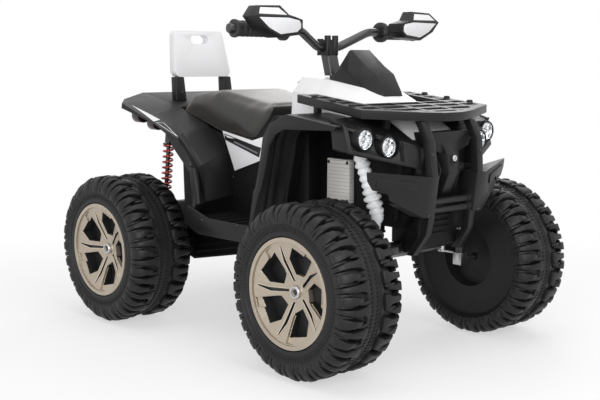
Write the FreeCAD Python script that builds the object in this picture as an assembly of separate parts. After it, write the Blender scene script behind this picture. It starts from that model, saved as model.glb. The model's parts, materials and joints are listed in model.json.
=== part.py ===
# Battery ride-on quad bike for a child, with hollow plastic tyres and bronze rims.
# Millimetres. +X is forward, +Y is the rider's left, +Z is up.
# The origin is on the floor, midway between the axles.
# Outlines are shares: x of the wheelbase, y of the body's half width, z of the deck's height.

import FreeCAD, Part
import math
import os
from functools import cache

V = FreeCAD.Vector

# Overall sizes
wheelbase = 646.0
overall_width = 689.0
body_half_width = 240.0
deck_height = 500.0

# Running gaps and cut lengths
seat_gap = 0.3
pin_gap = 0.05
hole_gap = 1.0
overrun = 2.0

# Tyres
tyre_radius = 170.0
tyre_width = 152.0
tyre_facets = 24
carcass_drop = 12.0
shoulder_drop = 30.0
shoulder_width = 24.0
tread_band_width = 40.0
lug_length = 48.0
lug_tip_width = 21.0
lug_root_width = 30.0
lug_shoulder_slope = 9.0
lug_root_drop = 24.0
dish_rim_width = 12.0
dish_floor_radius = 60.0
dish_depth = 36.0

# Rims
rim_radius = 107.0
rim_gap = 1.5
rim_seat_depth = 38.0
rim_lip_width = 8.0
rim_lip_height = 6.0
rim_face_inset = 2.0
rim_hub_radius = 27.0
rim_hub_inset = 29.0
rim_cap_radius = 12.0
rim_cap_height = 4.0
rim_cap_recess = 6.0
rim_window_count = 5
rim_step_depth = 5.0
rim_groove_depth = 6.0
rim_window_shares = [(0.80, 0.20), (0.76, -0.31), (0.36, -0.12), (0.31, 0.09), (0.55, 0.26)]
rim_step_shares = [(0.90, -0.18), (0.84, -0.36), (0.40, -0.16), (0.36, 0.02), (0.60, -0.02)]
rim_groove_shares = [(0.20, 0.03), (0.58, 0.055), (0.84, -0.015), (0.86, -0.05), (0.60, -0.02), (0.20, -0.03)]
rim_spoke_turn = 36.0

# Stub axles, rear axle and gearboxes
stub_radius = 6.0
axle_end_reach = 4.0
gearbox_length = 96.0
gearbox_width = 64.0
gearbox_height = 84.0
gearbox_inset = 8.0
gearbox_chamfer = 14.0
motor_radius = 21.0
motor_length = 46.0

# Front beam, knuckles and tie rod
kingpin_inset = 16.5
kingpin_radius = 5.0
kingpin_sleeve_radius = 10.0
kingpin_sleeve_height = 50.0
yoke_plate = 5.0
yoke_width = 22.0
beam_height = 22.0
beam_depth = 26.0
beam_lift = 34.0
arm_length = 50.0
arm_width = 11.0
tie_rod_radius = 5.0
tie_eye_radius = 10.0
tie_pin_radius = 4.0
tie_plate_width = 24.0
tie_plate_thickness = 5.0

# Steering column
column_radius = 8.0
column_foot_share = 0.3173
column_head_shares = (0.13, 1.266)
crank_rise = 9.0
crank_width = 20.0
crank_thickness = 6.0
crank_foot = 4.0
crank_pin_gap = 2.0
sleeve_width = 33.0
sleeve_depth = 24.0
sleeve_edge = 5.0
sleeve_bottom_share = 1.144

# Handlebar, clamp and grips
bar_radius = 9.5
bar_flat_half = 30.0
bar_bend_radius = 45.0
bar_bend_shares = (0.1663, 0.4333, 1.336)
bar_end_shares = (0.142, 1.2, 1.338)
clamp_length = 30.0
clamp_width = 31.0
clamp_height = 34.0
clamp_edge = 4.0
clamp_lobe_radius = 7.0
clamp_lobe_offset = 11.5
clamp_front_rise = 9.0
clamp_rear_rise = 2.0
grip_radius = 16.5
grip_flange_radius = 18.5
grip_flange_width = 6.0
grip_collar_radius = 22.5
grip_collar_width = 9.0
grip_inner_share = 0.608
grip_outer_share = 1.15
grip_rib_count = 9
grip_rib_depth = 1.2

# Handguards: outline seen from the front, as shares of the length and height from the inner low corner
guard_length = 126.0
guard_height = 66.0
guard_low_share = 1.300
guard_inner_share = 0.6375
guard_front_share = 0.2585
guard_depth = 42.0
guard_wall = 4.0
guard_visor_share = 0.64
guard_visor_lean = 17.0
guard_outline_shares = [
    (0.0, 0.56), (0.28, 0.70), (0.38, 0.985), (0.865, 0.955), (1.0, 0.636), (0.83, 0.30),
    (0.49, 0.0), (0.095, 0.09), (0.0, 0.27),
]
guard_upper_shares = [(0.32, 0.69), (0.43, 0.91), (0.83, 0.90), (0.915, 0.70)]
guard_lower_shares = [
    (0.07, 0.54), (0.30, 0.61), (0.93, 0.60), (0.72, 0.29), (0.48, 0.10), (0.12, 0.18), (0.035, 0.30), (0.035, 0.45),
]
guard_panel_depth = 2.0
guard_ring_radius = 14.0
guard_ring_width = 7.0
guard_arm_height = 14.0

# Tub and front bay
tub_half_width = 120.0
bay_half_width = 84.0
belly_shares = [(-0.511, 0.882), (-0.387, 0.770), (-0.074, 1.000), (0.232, 1.265)]
tub_top_shares = [
    (0.232, 0.940), (0.062, 0.972), (-0.046, 0.850), (-0.217, 0.872), (-0.464, 0.956),
    (-0.576, 1.000), (-0.619, 0.940), (-0.576, 0.660),
]
belly_rib_count = 3
belly_rib_pitch = 15.0
belly_rib_height = 6.0
belly_rib_depth = 3.0
bay_top_shares = [
    (0.600, 0.590), (0.616, 0.620), (0.616, 0.870), (0.511, 0.880), (0.372, 0.930), (0.232, 0.930),
]
bay_rear_share = 0.232
bay_front_share = 0.560

# Battery
battery_length = 151.0
battery_width = 98.0
battery_height = 95.0
battery_shares = (-0.170, 0.460)

# Seat
seat_side_inset = 2.0
seat_side_shares = [
    (-0.466, 0.974), (-0.406, 1.044), (-0.262, 1.062), (-0.088, 1.014), (-0.019, 1.006),
    (0.048, 1.022), (0.034, 0.962), (-0.046, 0.852), (-0.217, 0.874),
]

# Front fenders
fender_wall = 5.0
fender_rim = 7.0
fender_step = 3.0
front_fender_over_shares = [
    (0.539, 0.962), (0.325, 0.998), (0.250, 0.958), (0.216, 0.900), (0.198, 0.784), (0.176, 0.680), (0.149, 0.524),
]
front_fender_under_shares = [
    (0.533, 0.944), (0.313, 0.936), (0.275, 0.914), (0.245, 0.868), (0.232, 0.790), (0.206, 0.680), (0.166, 0.524),
]
liner_rib_shares = [(0.800, 0.870), (0.620, 0.660)]
liner_rib_depth = 6.0

# Rear fenders: top edge at the tub, then the outer edge, from the tail down the pillar
rear_fender_wall = 6.0
rear_fender_rim_width = 8.0
rear_fender_inner_shares = [
    (-0.700, 1.052), (-0.600, 1.026), (-0.472, 0.992), (-0.300, 0.915),
    (-0.190, 0.790), (-0.160, 0.600), (-0.176, 0.520),
]
rear_fender_outer_shares = [
    (-0.620, 0.88, 1.026), (-0.570, 1.00, 1.010), (-0.440, 0.99, 0.952), (-0.257, 0.965, 0.866),
    (-0.160, 0.947, 0.734), (-0.136, 0.976, 0.580), (-0.170, 1.005, 0.520),
]
rear_rim_depths = [14.0, 16.0, 20.0, 26.0, 22.0, 18.0, 16.0]
pillar_rib_width = 16.0
pillar_rib_depth = 4.0
deck_rear_shares = [(-0.700, 1.052), (-0.472, 0.992), (-0.472, 0.960), (-0.690, 1.020)]

# Footboards
footboard_rim_reach = 3.0
footboard_wall = 6.0
footboard_side_shares = [
    (-0.172, 0.572), (-0.060, 0.528), (0.148, 0.524), (0.176, 0.450), (-0.120, 0.450), (-0.200, 0.490),
]
footboard_floor_shares = [
    (-0.165, 0.520), (0.145, 0.500), (0.176, 0.450), (-0.120, 0.450), (-0.200, 0.490),
]
footboard_rib_count = 6
footboard_rib_width = 6.0
footboard_rib_height = 3.0
footboard_rib_shares = (-0.105, 0.110)

# Side inserts
insert_thickness = 4.0
insert_shares = [(-0.208, 0.890), (-0.046, 0.856), (0.022, 0.880), (0.034, 0.786), (-0.140, 0.712)]

# Front cowl: sections from the seat to the nose, each as x, top y and z, shoulder y and z, foot y and z
cowl_section_shares = [
    (0.011, 0.230, 1.112, 0.420, 1.050, 0.99, 0.940),
    (0.100, 0.250, 1.140, 0.460, 1.082, 0.99, 0.940),
    (0.200, 0.235, 1.132, 0.470, 1.072, 0.99, 0.940),
    (0.372, 0.210, 1.096, 0.450, 1.030, 0.99, 0.940),
    (0.460, 0.190, 1.046, 0.416, 0.995, 0.99, 0.920),
    (0.620, 0.150, 0.920, 0.260, 0.904, 0.69, 0.870),
]
cowl_sweep_shares = [(0.000, 0.000), (0.020, 0.100), (0.094, 0.210), (0.133, 0.396), (0.145, 0.500), (-0.100, 0.500)]

# Dash cowl
dash_mid_half = 28.0
dash_edge_half = 48.0
dash_mid_shares = [
    (0.183, 1.080), (0.450, 1.000), (0.430, 1.075), (0.394, 1.152), (0.352, 1.186), (0.284, 1.254),
    (0.274, 1.250), (0.209, 1.150),
]
dash_edge_shares = [
    (0.189, 1.060), (0.440, 1.000), (0.405, 1.060), (0.362, 1.108), (0.330, 1.135), (0.297, 1.172),
    (0.262, 1.172), (0.217, 1.138),
]

# Headlamp pods
pod_side_inset = 7.0
pod_outer_shares = [(0.490, 0.984), (0.542, 0.968), (0.567, 0.860), (0.500, 0.872)]
pod_inner_shares = [(0.490, 1.000), (0.659, 0.880), (0.666, 0.788), (0.500, 0.804)]
pod_pocket_depth = 12.0
pod_frame_width = 8.0
lamp_radius = 21.5
lamp_depth = 26.0
lamp_bezel = 2.5
lamp_shares = [(0.586, 0.772, 0.908), (0.608, 0.571, 0.878)]

# Front rack
rack_rear_shares = (0.265, 1.072)
rack_front_shares = (0.681, 1.006)
rack_plan_shares = [(0.265, 0.720), (0.577, 0.810), (0.661, 0.308), (0.681, 0.115)]
rack_rim_width = 16.0
rack_rim_depth = 17.0
rack_slat_width = 12.0
rack_slat_depth = 9.0
rack_cross_count = 7
rack_long_shares = [0.172, 0.524]
rack_opening_half = 119.0
rack_opening_front_share = 0.475
rack_tooth_shares = [0.340, 0.430, 0.520]
rack_tooth_length = 12.0
rack_tooth_tip = 8.0
rack_tooth_height = 5.0
rack_foot_width = 12.0
rack_foot_shares = [(0.320, 0.620, 0.990), (0.560, 0.470, 0.940)]

# Bumper
bumper_post_width = 17.0
bumper_post_shares = [(0.648, 0.309, 0.974), (0.680, 0.309, 0.900), (0.690, 0.294, 0.760)]
bumper_inner_y = 60.0
bumper_plate_y = 90.0
bumper_tip_share = 0.888
bumper_mid_shares = [(0.704, 0.764), (0.687, 0.602), (0.632, 0.602), (0.632, 0.764)]
bumper_tip_shares = [(0.633, 0.794), (0.627, 0.730), (0.575, 0.744), (0.576, 0.794)]
bumper_inset_shares = [(0.20, 0.18), (0.86, 0.24), (0.86, 0.74), (0.62, 0.74), (0.52, 0.46), (0.20, 0.44)]
bumper_inset_depth = 3.0
bumper_leg_shares = [(0.670, 0.264, 0.610), (0.660, 0.273, 0.530), (0.615, 0.294, 0.440)]
bumper_bar_share = 0.668
bumper_bar_heights_shares = [0.656, 0.622]
bumper_bar_radius = 7.0
bumper_collar_radius = 10.0
bumper_collar_width = 8.0

# Grille
grille_thickness = 10.0
grille_front_share = 0.616
grille_outline_shares = [(0.345, 0.900), (0.316, 0.800), (0.287, 0.600), (0.0, 0.600)]
grille_nose_shares = [
    (0.656, 0.110, 0.912), (0.680, 0.075, 0.840), (0.684, 0.060, 0.770), (0.656, 0.060, 0.682),
]
grille_nose_root = 10.0
grille_rib_count = 3
grille_rib_width = 4.0
grille_rib_pitch = 10.0
grille_rib_drop = 7.0
grille_rib_profile_shares = [(0.640, 0.870), (0.672, 0.780), (0.648, 0.682)]
hood_shares = [(0.300, 0.930), (0.260, 0.872), (0.110, 0.846)]
hood_front_share = 0.664
badge_radius = 8.0
badge_hole_radius = 4.0
badge_depth = 3.0
badge_height_share = 0.812

# Skid plate
skid_side_shares = [
    (0.632, 0.598), (0.620, 0.470), (0.575, 0.440), (0.555, 0.450), (0.560, 0.464), (0.600, 0.590),
    (0.616, 0.598),
]
skid_half_width = 62.0
skid_rung_count = 4
skid_rung_width = 60.0
skid_rung_height = 5.0
skid_rung_depth = 6.0
skid_rung_shares = [(0.630, 0.585), (0.622, 0.510)]
skirt_side_shares = [(0.600, 0.700), (0.560, 0.440), (0.545, 0.556)]
skirt_width = 16.0

# Side panels that look like an engine's finned side
side_panel_thickness = 16.0
side_panel_low_shares = (0.250, 0.616)
side_panel_high_shares = (0.388, 0.806)
side_panel_rib_count = 8
side_panel_rib_depth = 3.0

# Front struts
strut_top_shares = (0.488, 0.617, 0.868)
strut_bottom_shares = (0.518, 0.600)
strut_foot_inset = 58.0
strut_root_radius = 11.0
strut_rib_radius = 17.0
strut_low_rib_radius = 20.0
strut_rib_count = 5
strut_low_rib_count = 3
strut_tube_radius = 9.0

# Rear shocks
shock_top_shares = (-0.466, 0.976)
shock_bottom_shares = (-0.500, 0.420)
shock_top_standoff = 26.0
shock_bottom_standoff = 36.0
shock_body_radius = 9.0
shock_coil_radius = 15.0
shock_turn_count = 6

# Backrest
back_panel_thickness = 22.0
back_bottom_half = 88.0
back_top_half = 74.0
back_bottom_shares = (-0.557, 1.130)
back_top_shares = (-0.587, 1.358)
back_corner_radius = 14.0
back_edge_radius = 4.0
back_slot_length = 55.0
back_slot_height = 22.0
back_slot_drop = 11.0
back_post_spread = 74.0
back_post_width = 26.0
back_post_foot_width = 33.0
back_post_depth = 20.0
back_post_foot_shares = (-0.545, 0.990)

# Tail lamps
tail_radius = 17.0
tail_length = 26.0
tail_shares = [(-0.520, 0.833, 0.950), (-0.440, 0.804, 0.919)]

# Places that follow from the sizes above
half_width = overall_width / 2
wheel_y = half_width - tyre_width / 2
wheel_inner_y = half_width - tyre_width
front_axle_x = wheelbase / 2
rear_axle_x = -wheelbase / 2
axle_z = tyre_radius
kingpin_y = wheel_inner_y - kingpin_inset
steer_plane_z = axle_z + stub_radius + yoke_width / 2
beam_z = steer_plane_z + beam_lift
beam_top_z = beam_z + beam_height / 2
tie_eye_height = 2 * tie_rod_radius
hub_bore_radius = stub_radius + pin_gap
stub_end_y = half_width - rim_seat_depth + axle_end_reach
crank_length = arm_length
crank_low_z = steer_plane_z + crank_rise
column_foot = V(column_foot_share * wheelbase, 0, crank_low_z + crank_foot)
column_head = V(column_head_shares[0] * wheelbase, 0, column_head_shares[1] * deck_height)
strut_foot_y = kingpin_y - strut_foot_inset
front_fender_y = body_half_width


# Helpers
def spot(pair):
    return pair[0] * wheelbase, pair[1] * deck_height


def spots(pairs):
    return [spot(pair) for pair in pairs]


def place(triple, side=1):
    return V(triple[0] * wheelbase, side * triple[1] * body_half_width, triple[2] * deck_height)


def mirrored(shape):
    return shape.mirror(V(0, 0, 0), V(0, 1, 0))


def both(shape):
    return Part.makeCompound([shape, mirrored(shape)])


def polygon(points):
    return Part.makePolygon(points + [points[0]])


def prism(points, travel):
    return Part.Face(polygon(points)).extrude(travel)


def side_prism(outline, low_y, high_y):
    points = [V(x, low_y, z) for x, z in outline]
    return prism(points, V(0, high_y - low_y, 0))


def front_prism(outline, low_x, high_x):
    points = [V(low_x, y, z) for y, z in outline]
    return prism(points, V(high_x - low_x, 0, 0))


def plan_prism(outline, low_z, high_z):
    points = [V(x, y, low_z) for x, y in outline]
    return prism(points, V(0, 0, high_z - low_z))


def block(low, high):
    size = high - low
    return Part.makeBox(size.x, size.y, size.z, low)


def loft(sections):
    return Part.makeLoft([polygon(points) for points in sections], True, True)


def flat_sided(near, far):
    faces = [Part.Face(polygon(near)), Part.Face(polygon(far))]
    for index in range(len(near)):
        after = (index + 1) % len(near)
        faces.append(Part.Face(polygon([near[index], near[after], far[after], far[index]])))
    return Part.makeSolid(Part.makeShell(faces))


def chain(sections):
    return fused([loft([near, far]) for near, far in zip(sections, sections[1:])])


def rod(start, end, radius):
    return Part.makeCylinder(radius, (end - start).Length, start, end - start)


def cone(start, end, start_radius, end_radius):
    return Part.makeCone(start_radius, end_radius, (end - start).Length, start, end - start)


def disc(centre, radius, height):
    return Part.makeCylinder(radius, height, centre)


def fused(shapes):
    body = shapes[0].multiFuse(shapes[1:]) if len(shapes) > 1 else shapes[0]
    return body.removeSplitter()


def mirror_outline(right_half):
    return right_half + [(-y, z) for y, z in reversed(right_half) if y != 0]


def rounded(shape, direction, radius):
    edges = []
    for edge in shape.Edges:
        along = (edge.Vertexes[-1].Point - edge.Vertexes[0].Point).normalize()
        if abs(along.dot(direction)) > math.cos(math.radians(20)):
            edges.append(edge)
    return shape.makeFillet(radius, edges)


def tube(points, bend, radius):
    edges = []
    start = points[0]
    for before, corner, after in zip(points, points[1:], points[2:]):
        inward = (before - corner).normalize()
        onward = (after - corner).normalize()
        half_angle = inward.getAngle(onward) / 2
        reach = bend / math.tan(half_angle)
        first = corner + inward * reach
        last = corner + onward * reach
        middle = corner + (inward + onward).normalize() * (bend / math.sin(half_angle) - bend)
        edges.append(Part.LineSegment(start, first).toShape())
        edges.append(Part.Arc(first, middle, last).toShape())
        start = last
    edges.append(Part.LineSegment(start, points[-1]).toShape())
    ring = Part.Wire(Part.makeCircle(radius, points[0], points[1] - points[0]))
    return Part.Wire(edges).makePipeShell([ring], True, False)


def roomy(shape, gap):
    copies = []
    for x, z in ((gap, 0), (-gap, 0), (0, gap), (0, -gap), (gap, gap)):
        copy = shape.copy()
        copy.translate(V(x, 0, z))
        copies.append(copy)
    return shape.multiFuse(copies)


def save(name, shape):
    os.makedirs("parts", exist_ok=True)
    shape.exportStep("parts/" + name + ".step")
    solids = len(shape.Solids)
    print(name, "solids", solids, "valid", shape.isValid(), "volume", round(shape.Volume))


# Wheels, modelled about the Y axis at the origin with the outer face at +tyre_width / 2
def faceted_ring(profile, sides):
    start = -math.pi / 2 - math.pi / sides
    rings = []
    for number in range(sides):
        angle = start + number * 2 * math.pi / sides
        rings.append([V(r * math.cos(angle), y, r * math.sin(angle)) for r, y in profile])
    faces = []
    for number in range(sides):
        near = rings[number]
        far = rings[(number + 1) % sides]
        for index in range(len(profile)):
            after = (index + 1) % len(profile)
            faces.append(Part.Face(polygon([near[index], near[after], far[after], far[index]])))
    return Part.makeSolid(Part.makeShell(faces))


def lug(side, angle):
    inner_y = tread_band_width / 2
    outer_y = inner_y + lug_length
    low_r = tyre_radius - lug_root_drop
    base_r = tyre_radius - carcass_drop - overrun
    profile = [
        (inner_y, base_r), (inner_y, tyre_radius), (outer_y - lug_shoulder_slope, tyre_radius),
        (outer_y, low_r),
    ]
    left = []
    right = []
    for y, r in profile:
        share = (tyre_radius - r) / lug_root_drop
        half = (lug_tip_width + (lug_root_width - lug_tip_width) * share) / 2
        left.append(V(-half, side * y, r))
        right.append(V(half, side * y, r))
    solid = flat_sided(left, right)
    solid.rotate(V(0, 0, 0), V(0, 1, 0), math.degrees(angle))
    return solid


def tyre():
    outer = tyre_width / 2
    flat = math.cos(math.pi / tyre_facets)
    carcass = (tyre_radius - carcass_drop) / flat
    sidewall = (tyre_radius - shoulder_drop) / flat
    seat = (rim_radius + rim_gap) / flat
    bore = hub_bore_radius / flat
    profile = [
        (bore, -outer + dish_depth), (dish_floor_radius, -outer + dish_depth),
        (sidewall - dish_rim_width, -outer), (sidewall, -outer),
        (carcass, -outer + shoulder_width), (carcass, outer - shoulder_width), (sidewall, outer),
        (seat, outer), (seat, outer - rim_seat_depth), (bore, outer - rim_seat_depth),
    ]
    body = faceted_ring(profile, tyre_facets)
    lugs = []
    for number in range(tyre_facets):
        angle = math.pi + number * 2 * math.pi / tyre_facets
        lugs.append(lug(1, angle))
        lugs.append(lug(-1, angle))
    return body.multiFuse(lugs)


def rim_prisms(outline_shares, low_y, high_y, turn):
    shapes = []
    for number in range(rim_window_count):
        points = [V(rim_radius * a, low_y, rim_radius * b) for a, b in outline_shares]
        shape = prism(points, V(0, high_y - low_y, 0))
        shape.rotate(V(0, 0, 0), V(0, 1, 0), turn + number * 360 / rim_window_count)
        shapes.append(shape)
    return shapes


def rim_profile(drop):
    outer = tyre_width / 2
    back = outer - rim_seat_depth
    face = outer - rim_face_inset - drop
    hub_face = outer - rim_hub_inset - drop
    return [
        V(0, back, 0), V(rim_radius, back, 0), V(rim_radius, face, 0),
        V(rim_radius - rim_lip_width, face, 0),
        V(rim_radius - rim_lip_width, face - rim_lip_height, 0), V(rim_hub_radius, hub_face, 0),
        V(0, hub_face, 0),
    ]


def turned(profile):
    return Part.Face(polygon(profile)).revolve(V(0, 0, 0), V(0, 1, 0), 360)


def rim():
    outer = tyre_width / 2
    back = outer - rim_seat_depth
    hub_face = outer - rim_hub_inset
    body = turned(rim_profile(0))
    windows = rim_prisms(rim_window_shares, back - overrun, outer + overrun, 0)
    steps = [
        prism.cut(turned(rim_profile(rim_step_depth)))
        for prism in rim_prisms(rim_step_shares, back, outer + overrun, 0)
    ]
    grooves = [
        prism.cut(turned(rim_profile(rim_groove_depth)))
        for prism in rim_prisms(rim_groove_shares, back, outer + overrun, rim_spoke_turn)
    ]
    cap = rod(V(0, hub_face, 0), V(0, hub_face + rim_cap_height, 0), rim_cap_radius)
    recess = rod(V(0, hub_face, 0), V(0, hub_face + rim_cap_height + overrun, 0), rim_cap_recess)
    bore_end = stub_end_y - wheel_y + hole_gap
    bore = rod(V(0, back - overrun, 0), V(0, bore_end, 0), hub_bore_radius)
    return body.cut(windows + steps + grooves).fuse(cap.cut(recess)).cut(bore).removeSplitter()


def wheel_at(shape, x, side, turn):
    copy = shape.copy()
    copy.rotate(V(0, 0, 0), V(0, 1, 0), turn)
    copy.translate(V(x, wheel_y, axle_z))
    return copy if side > 0 else mirrored(copy)


# Running gear
def rear_axle():
    return rod(V(rear_axle_x, -stub_end_y, axle_z), V(rear_axle_x, stub_end_y, axle_z), stub_radius)


@cache
def gearbox():
    outer_y = wheel_inner_y - gearbox_inset
    inner_y = outer_y - gearbox_width
    low_x = rear_axle_x - gearbox_length / 2
    high_x = low_x + gearbox_length
    low_z = axle_z - gearbox_height / 2
    high_z = low_z + gearbox_height
    c = gearbox_chamfer
    outline = [
        (low_x + c, low_z), (high_x - c, low_z), (high_x, low_z + c), (high_x, high_z - c),
        (high_x - c, high_z), (low_x + c, high_z), (low_x, high_z - c), (low_x, low_z + c),
    ]
    case = side_prism(outline, inner_y, outer_y)
    motor_y = (inner_y + outer_y) / 2
    motor_z = (low_z + high_z) / 2
    motor = rod(V(high_x, motor_y, motor_z), V(high_x + motor_length, motor_y, motor_z), motor_radius)
    bore = rod(V(rear_axle_x, 0, axle_z), V(rear_axle_x, half_width, axle_z), hub_bore_radius)
    return fused([case, motor]).cut(bore)


@cache
def front_beam():
    half = kingpin_y - kingpin_sleeve_radius / 2
    bar = block(V(front_axle_x - beam_depth / 2, -half, beam_z - beam_height / 2),
                V(front_axle_x + beam_depth / 2, half, beam_top_z))
    shapes = [bar]
    bores = []
    for side in (1, -1):
        low = V(front_axle_x, side * kingpin_y, steer_plane_z)
        high = low + V(0, 0, kingpin_sleeve_height)
        reach = V(0, 0, overrun)
        shapes.append(rod(low, high, kingpin_sleeve_radius))
        bores.append(rod(low - reach, high + reach, kingpin_radius + pin_gap))
    return fused(shapes).cut(bores)


def knuckle():
    low_plate = steer_plane_z - seat_gap - yoke_plate
    high_plate = steer_plane_z + kingpin_sleeve_height + seat_gap
    x = front_axle_x
    y = kingpin_y
    half = yoke_width / 2
    foot = block(V(x - half, y - half, axle_z - half), V(x + half, y + half, low_plate + yoke_plate))
    pin = rod(V(x, y, low_plate), V(x, y, high_plate + yoke_plate), kingpin_radius)
    cap = disc(V(x, y, high_plate), kingpin_sleeve_radius, yoke_plate)
    stub = rod(V(x, y, axle_z), V(x, stub_end_y, axle_z), stub_radius)
    arm = block(V(x - arm_length, y - arm_width / 2, low_plate),
                V(x, y + arm_width / 2, low_plate + yoke_plate))
    eye = disc(V(x - arm_length, y, low_plate), tie_eye_radius, yoke_plate)
    post = disc(V(x - arm_length, y, low_plate), tie_pin_radius, yoke_plate + seat_gap + tie_eye_height)
    return fused([foot, pin, cap, stub, arm, eye, post])


def tie_rod():
    z = steer_plane_z
    x = front_axle_x - arm_length
    middle = z + tie_eye_height / 2
    pin_x = column_foot.x - crank_length
    half = tie_plate_width / 2
    shapes = [
        rod(V(x, -kingpin_y, middle), V(x, kingpin_y, middle), tie_rod_radius),
        block(V(pin_x, -half, z), V(x, half, z + tie_plate_thickness)),
        disc(V(pin_x, 0, z), half, tie_plate_thickness),
    ]
    bores = [rod(V(pin_x, 0, z - overrun), V(pin_x, 0, z + tie_plate_thickness + overrun),
                 tie_pin_radius + crank_pin_gap)]
    for side in (1, -1):
        low = V(x, side * kingpin_y, z)
        reach = V(0, 0, overrun)
        shapes.append(disc(low, tie_eye_radius, tie_eye_height))
        bores.append(rod(low - reach, low + V(0, 0, tie_eye_height) + reach, tie_pin_radius + pin_gap))
    return fused(shapes).cut(bores)


# Steering
def column_point(z):
    return column_foot + (column_head - column_foot) * ((z - column_foot.z) / (column_head.z - column_foot.z))


def column_box(low_z, high_z, width, depth):
    sections = []
    for z in (low_z, high_z):
        p = column_point(z)
        sections.append([
            p + V(-depth / 2, -width / 2, 0), p + V(depth / 2, -width / 2, 0),
            p + V(depth / 2, width / 2, 0), p + V(-depth / 2, width / 2, 0),
        ])
    return loft(sections)


def sleeve(gap):
    low_z = sleeve_bottom_share * deck_height - gap
    high_z = column_head.z - clamp_height / 2
    return column_box(low_z, high_z, sleeve_width + 2 * gap, sleeve_depth + 2 * gap)


@cache
def column_hole():
    return rod(column_foot, column_head, column_radius + hole_gap)


@cache
def steering_column():
    pin_x = column_foot.x - crank_length
    half = crank_width / 2
    pin_height = crank_rise + crank_thickness
    tilt = (column_head - column_foot).normalize()
    shapes = [
        rod(column_foot, column_head, column_radius),
        rounded(sleeve(0), tilt, sleeve_edge),
        block(V(pin_x, -half, crank_low_z), V(column_foot.x, half, crank_low_z + crank_thickness)),
        disc(V(column_foot.x, 0, crank_low_z), half, crank_thickness),
        disc(V(pin_x, 0, crank_low_z), half, crank_thickness),
        disc(V(pin_x, 0, steer_plane_z), tie_pin_radius, pin_height),
    ]
    return fused(shapes).cut(handlebar())


def bar_route(side):
    return [column_head + V(0, side * bar_flat_half, 0), place(bar_bend_shares, side), place(bar_end_shares, side)]


@cache
def handlebar():
    return tube(bar_route(-1)[::-1] + bar_route(1), bar_bend_radius, bar_radius)


def bar_clamp():
    corner = V(clamp_length / 2, clamp_width / 2, clamp_height / 2)
    shapes = [rounded(block(column_head - corner, column_head + corner), V(0, 0, 1), clamp_edge)]
    for side_x, rise in ((1, clamp_front_rise), (-1, clamp_rear_rise)):
        for side_y in (1, -1):
            shift = V(side_x * clamp_lobe_offset, side_y * clamp_lobe_offset, -corner.z)
            shapes.append(disc(column_head + shift, clamp_lobe_radius, clamp_height + rise))
    return fused(shapes).cut([handlebar(), steering_column()])


def grip_line():
    start = place(bar_bend_shares)
    end = place(bar_end_shares)
    per_y = (end - start) * (1 / (end.y - start.y))
    return start, per_y


def along_grip(y):
    start, per_y = grip_line()
    return start + per_y * (y - start.y)


@cache
def grip():
    inner_y = grip_inner_share * body_half_width
    outer_y = grip_outer_share * body_half_width
    collar_y = inner_y + grip_collar_width
    flange_y = outer_y - grip_flange_width
    shapes = [
        rod(along_grip(inner_y), along_grip(outer_y), grip_radius),
        rod(along_grip(inner_y), along_grip(collar_y), grip_collar_radius),
        rod(along_grip(flange_y), along_grip(outer_y), grip_flange_radius),
    ]
    body = fused(shapes)
    pitch = (flange_y - collar_y) / (grip_rib_count + 1)
    cuts = []
    for number in range(grip_rib_count):
        y = collar_y + (number + 1) * pitch
        start = along_grip(y - pitch / 4)
        end = along_grip(y + pitch / 4)
        cuts.append(rod(start, end, grip_radius + overrun).cut(rod(start, end, grip_radius - grip_rib_depth)))
    hole = rod(along_grip(inner_y - overrun), along_grip(outer_y + overrun), bar_radius)
    return body.cut(cuts + [hole])


def guard_corner():
    return V(guard_front_share * wheelbase, guard_inner_share * body_half_width, guard_low_share * deck_height)


def guard_prism(outline_shares, shrink):
    corner = guard_corner()
    rear = corner - V(guard_depth, 0, 0)
    points = []
    for a, b in outline_shares:
        across = 0.5 + (a - 0.5) * shrink
        up = 0.5 + (b - 0.5) * shrink
        points.append(rear + V(0, across * guard_length, up * guard_height))
    break_z = corner.z + guard_visor_share * guard_height
    top_z = corner.z + guard_height
    lean_x = corner.x - guard_visor_lean
    visor = [(corner.x, break_z), (lean_x, top_z), (lean_x, 2 * top_z), (2 * corner.x, 2 * top_z), (2 * corner.x, break_z)]
    return prism(points, V(guard_depth, 0, 0)).cut(side_prism(visor, 0, body_half_width + guard_length))


def guard_panel(outline_shares):
    behind = guard_prism(guard_outline_shares, 1)
    behind.translate(V(-guard_panel_depth, 0, 0))
    return guard_prism(outline_shares, 1).cut(behind)


def guard_arm():
    corner = guard_corner()
    ring_end = along_grip(grip_inner_share * body_half_width)
    ring_start = along_grip(ring_end.y - guard_ring_width)
    rear_x = corner.x - guard_depth
    root_y = corner.y + guard_wall
    plan = [
        (ring_start.x, ring_start.y), (ring_end.x, ring_end.y), (rear_x, root_y), (rear_x + guard_depth / 2, root_y),
    ]
    low_z = ring_start.z - guard_arm_height / 2
    arm = plan_prism(plan, low_z, low_z + guard_arm_height)
    return [arm, rod(ring_start, ring_end, guard_ring_radius)]


def handguard():
    hollow = guard_prism(guard_outline_shares, 1 - 2 * guard_wall / guard_height)
    hollow.translate(V(-guard_wall, 0, 0))
    panels = [guard_panel(shares) for shares in (guard_upper_shares, guard_lower_shares)]
    shell = guard_prism(guard_outline_shares, 1).cut([hollow] + panels)
    return fused([shell] + guard_arm()).cut([handlebar(), grip()])


def guard_panels():
    panels = [guard_panel(shares) for shares in (guard_upper_shares, guard_lower_shares)]
    return Part.makeCompound(panels + [mirrored(panel) for panel in panels])


# Body
def belly():
    return [(x * wheelbase, z * axle_z) for x, z in belly_shares]


def battery_box(gap, headroom):
    x, z = spot(battery_shares)
    low = V(x - battery_length / 2, -battery_width / 2, z)
    high = V(x + battery_length / 2, battery_width / 2, z + battery_height)
    room = V(gap, gap, 0)
    return block(low - room, high + room + V(0, 0, headroom))


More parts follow.
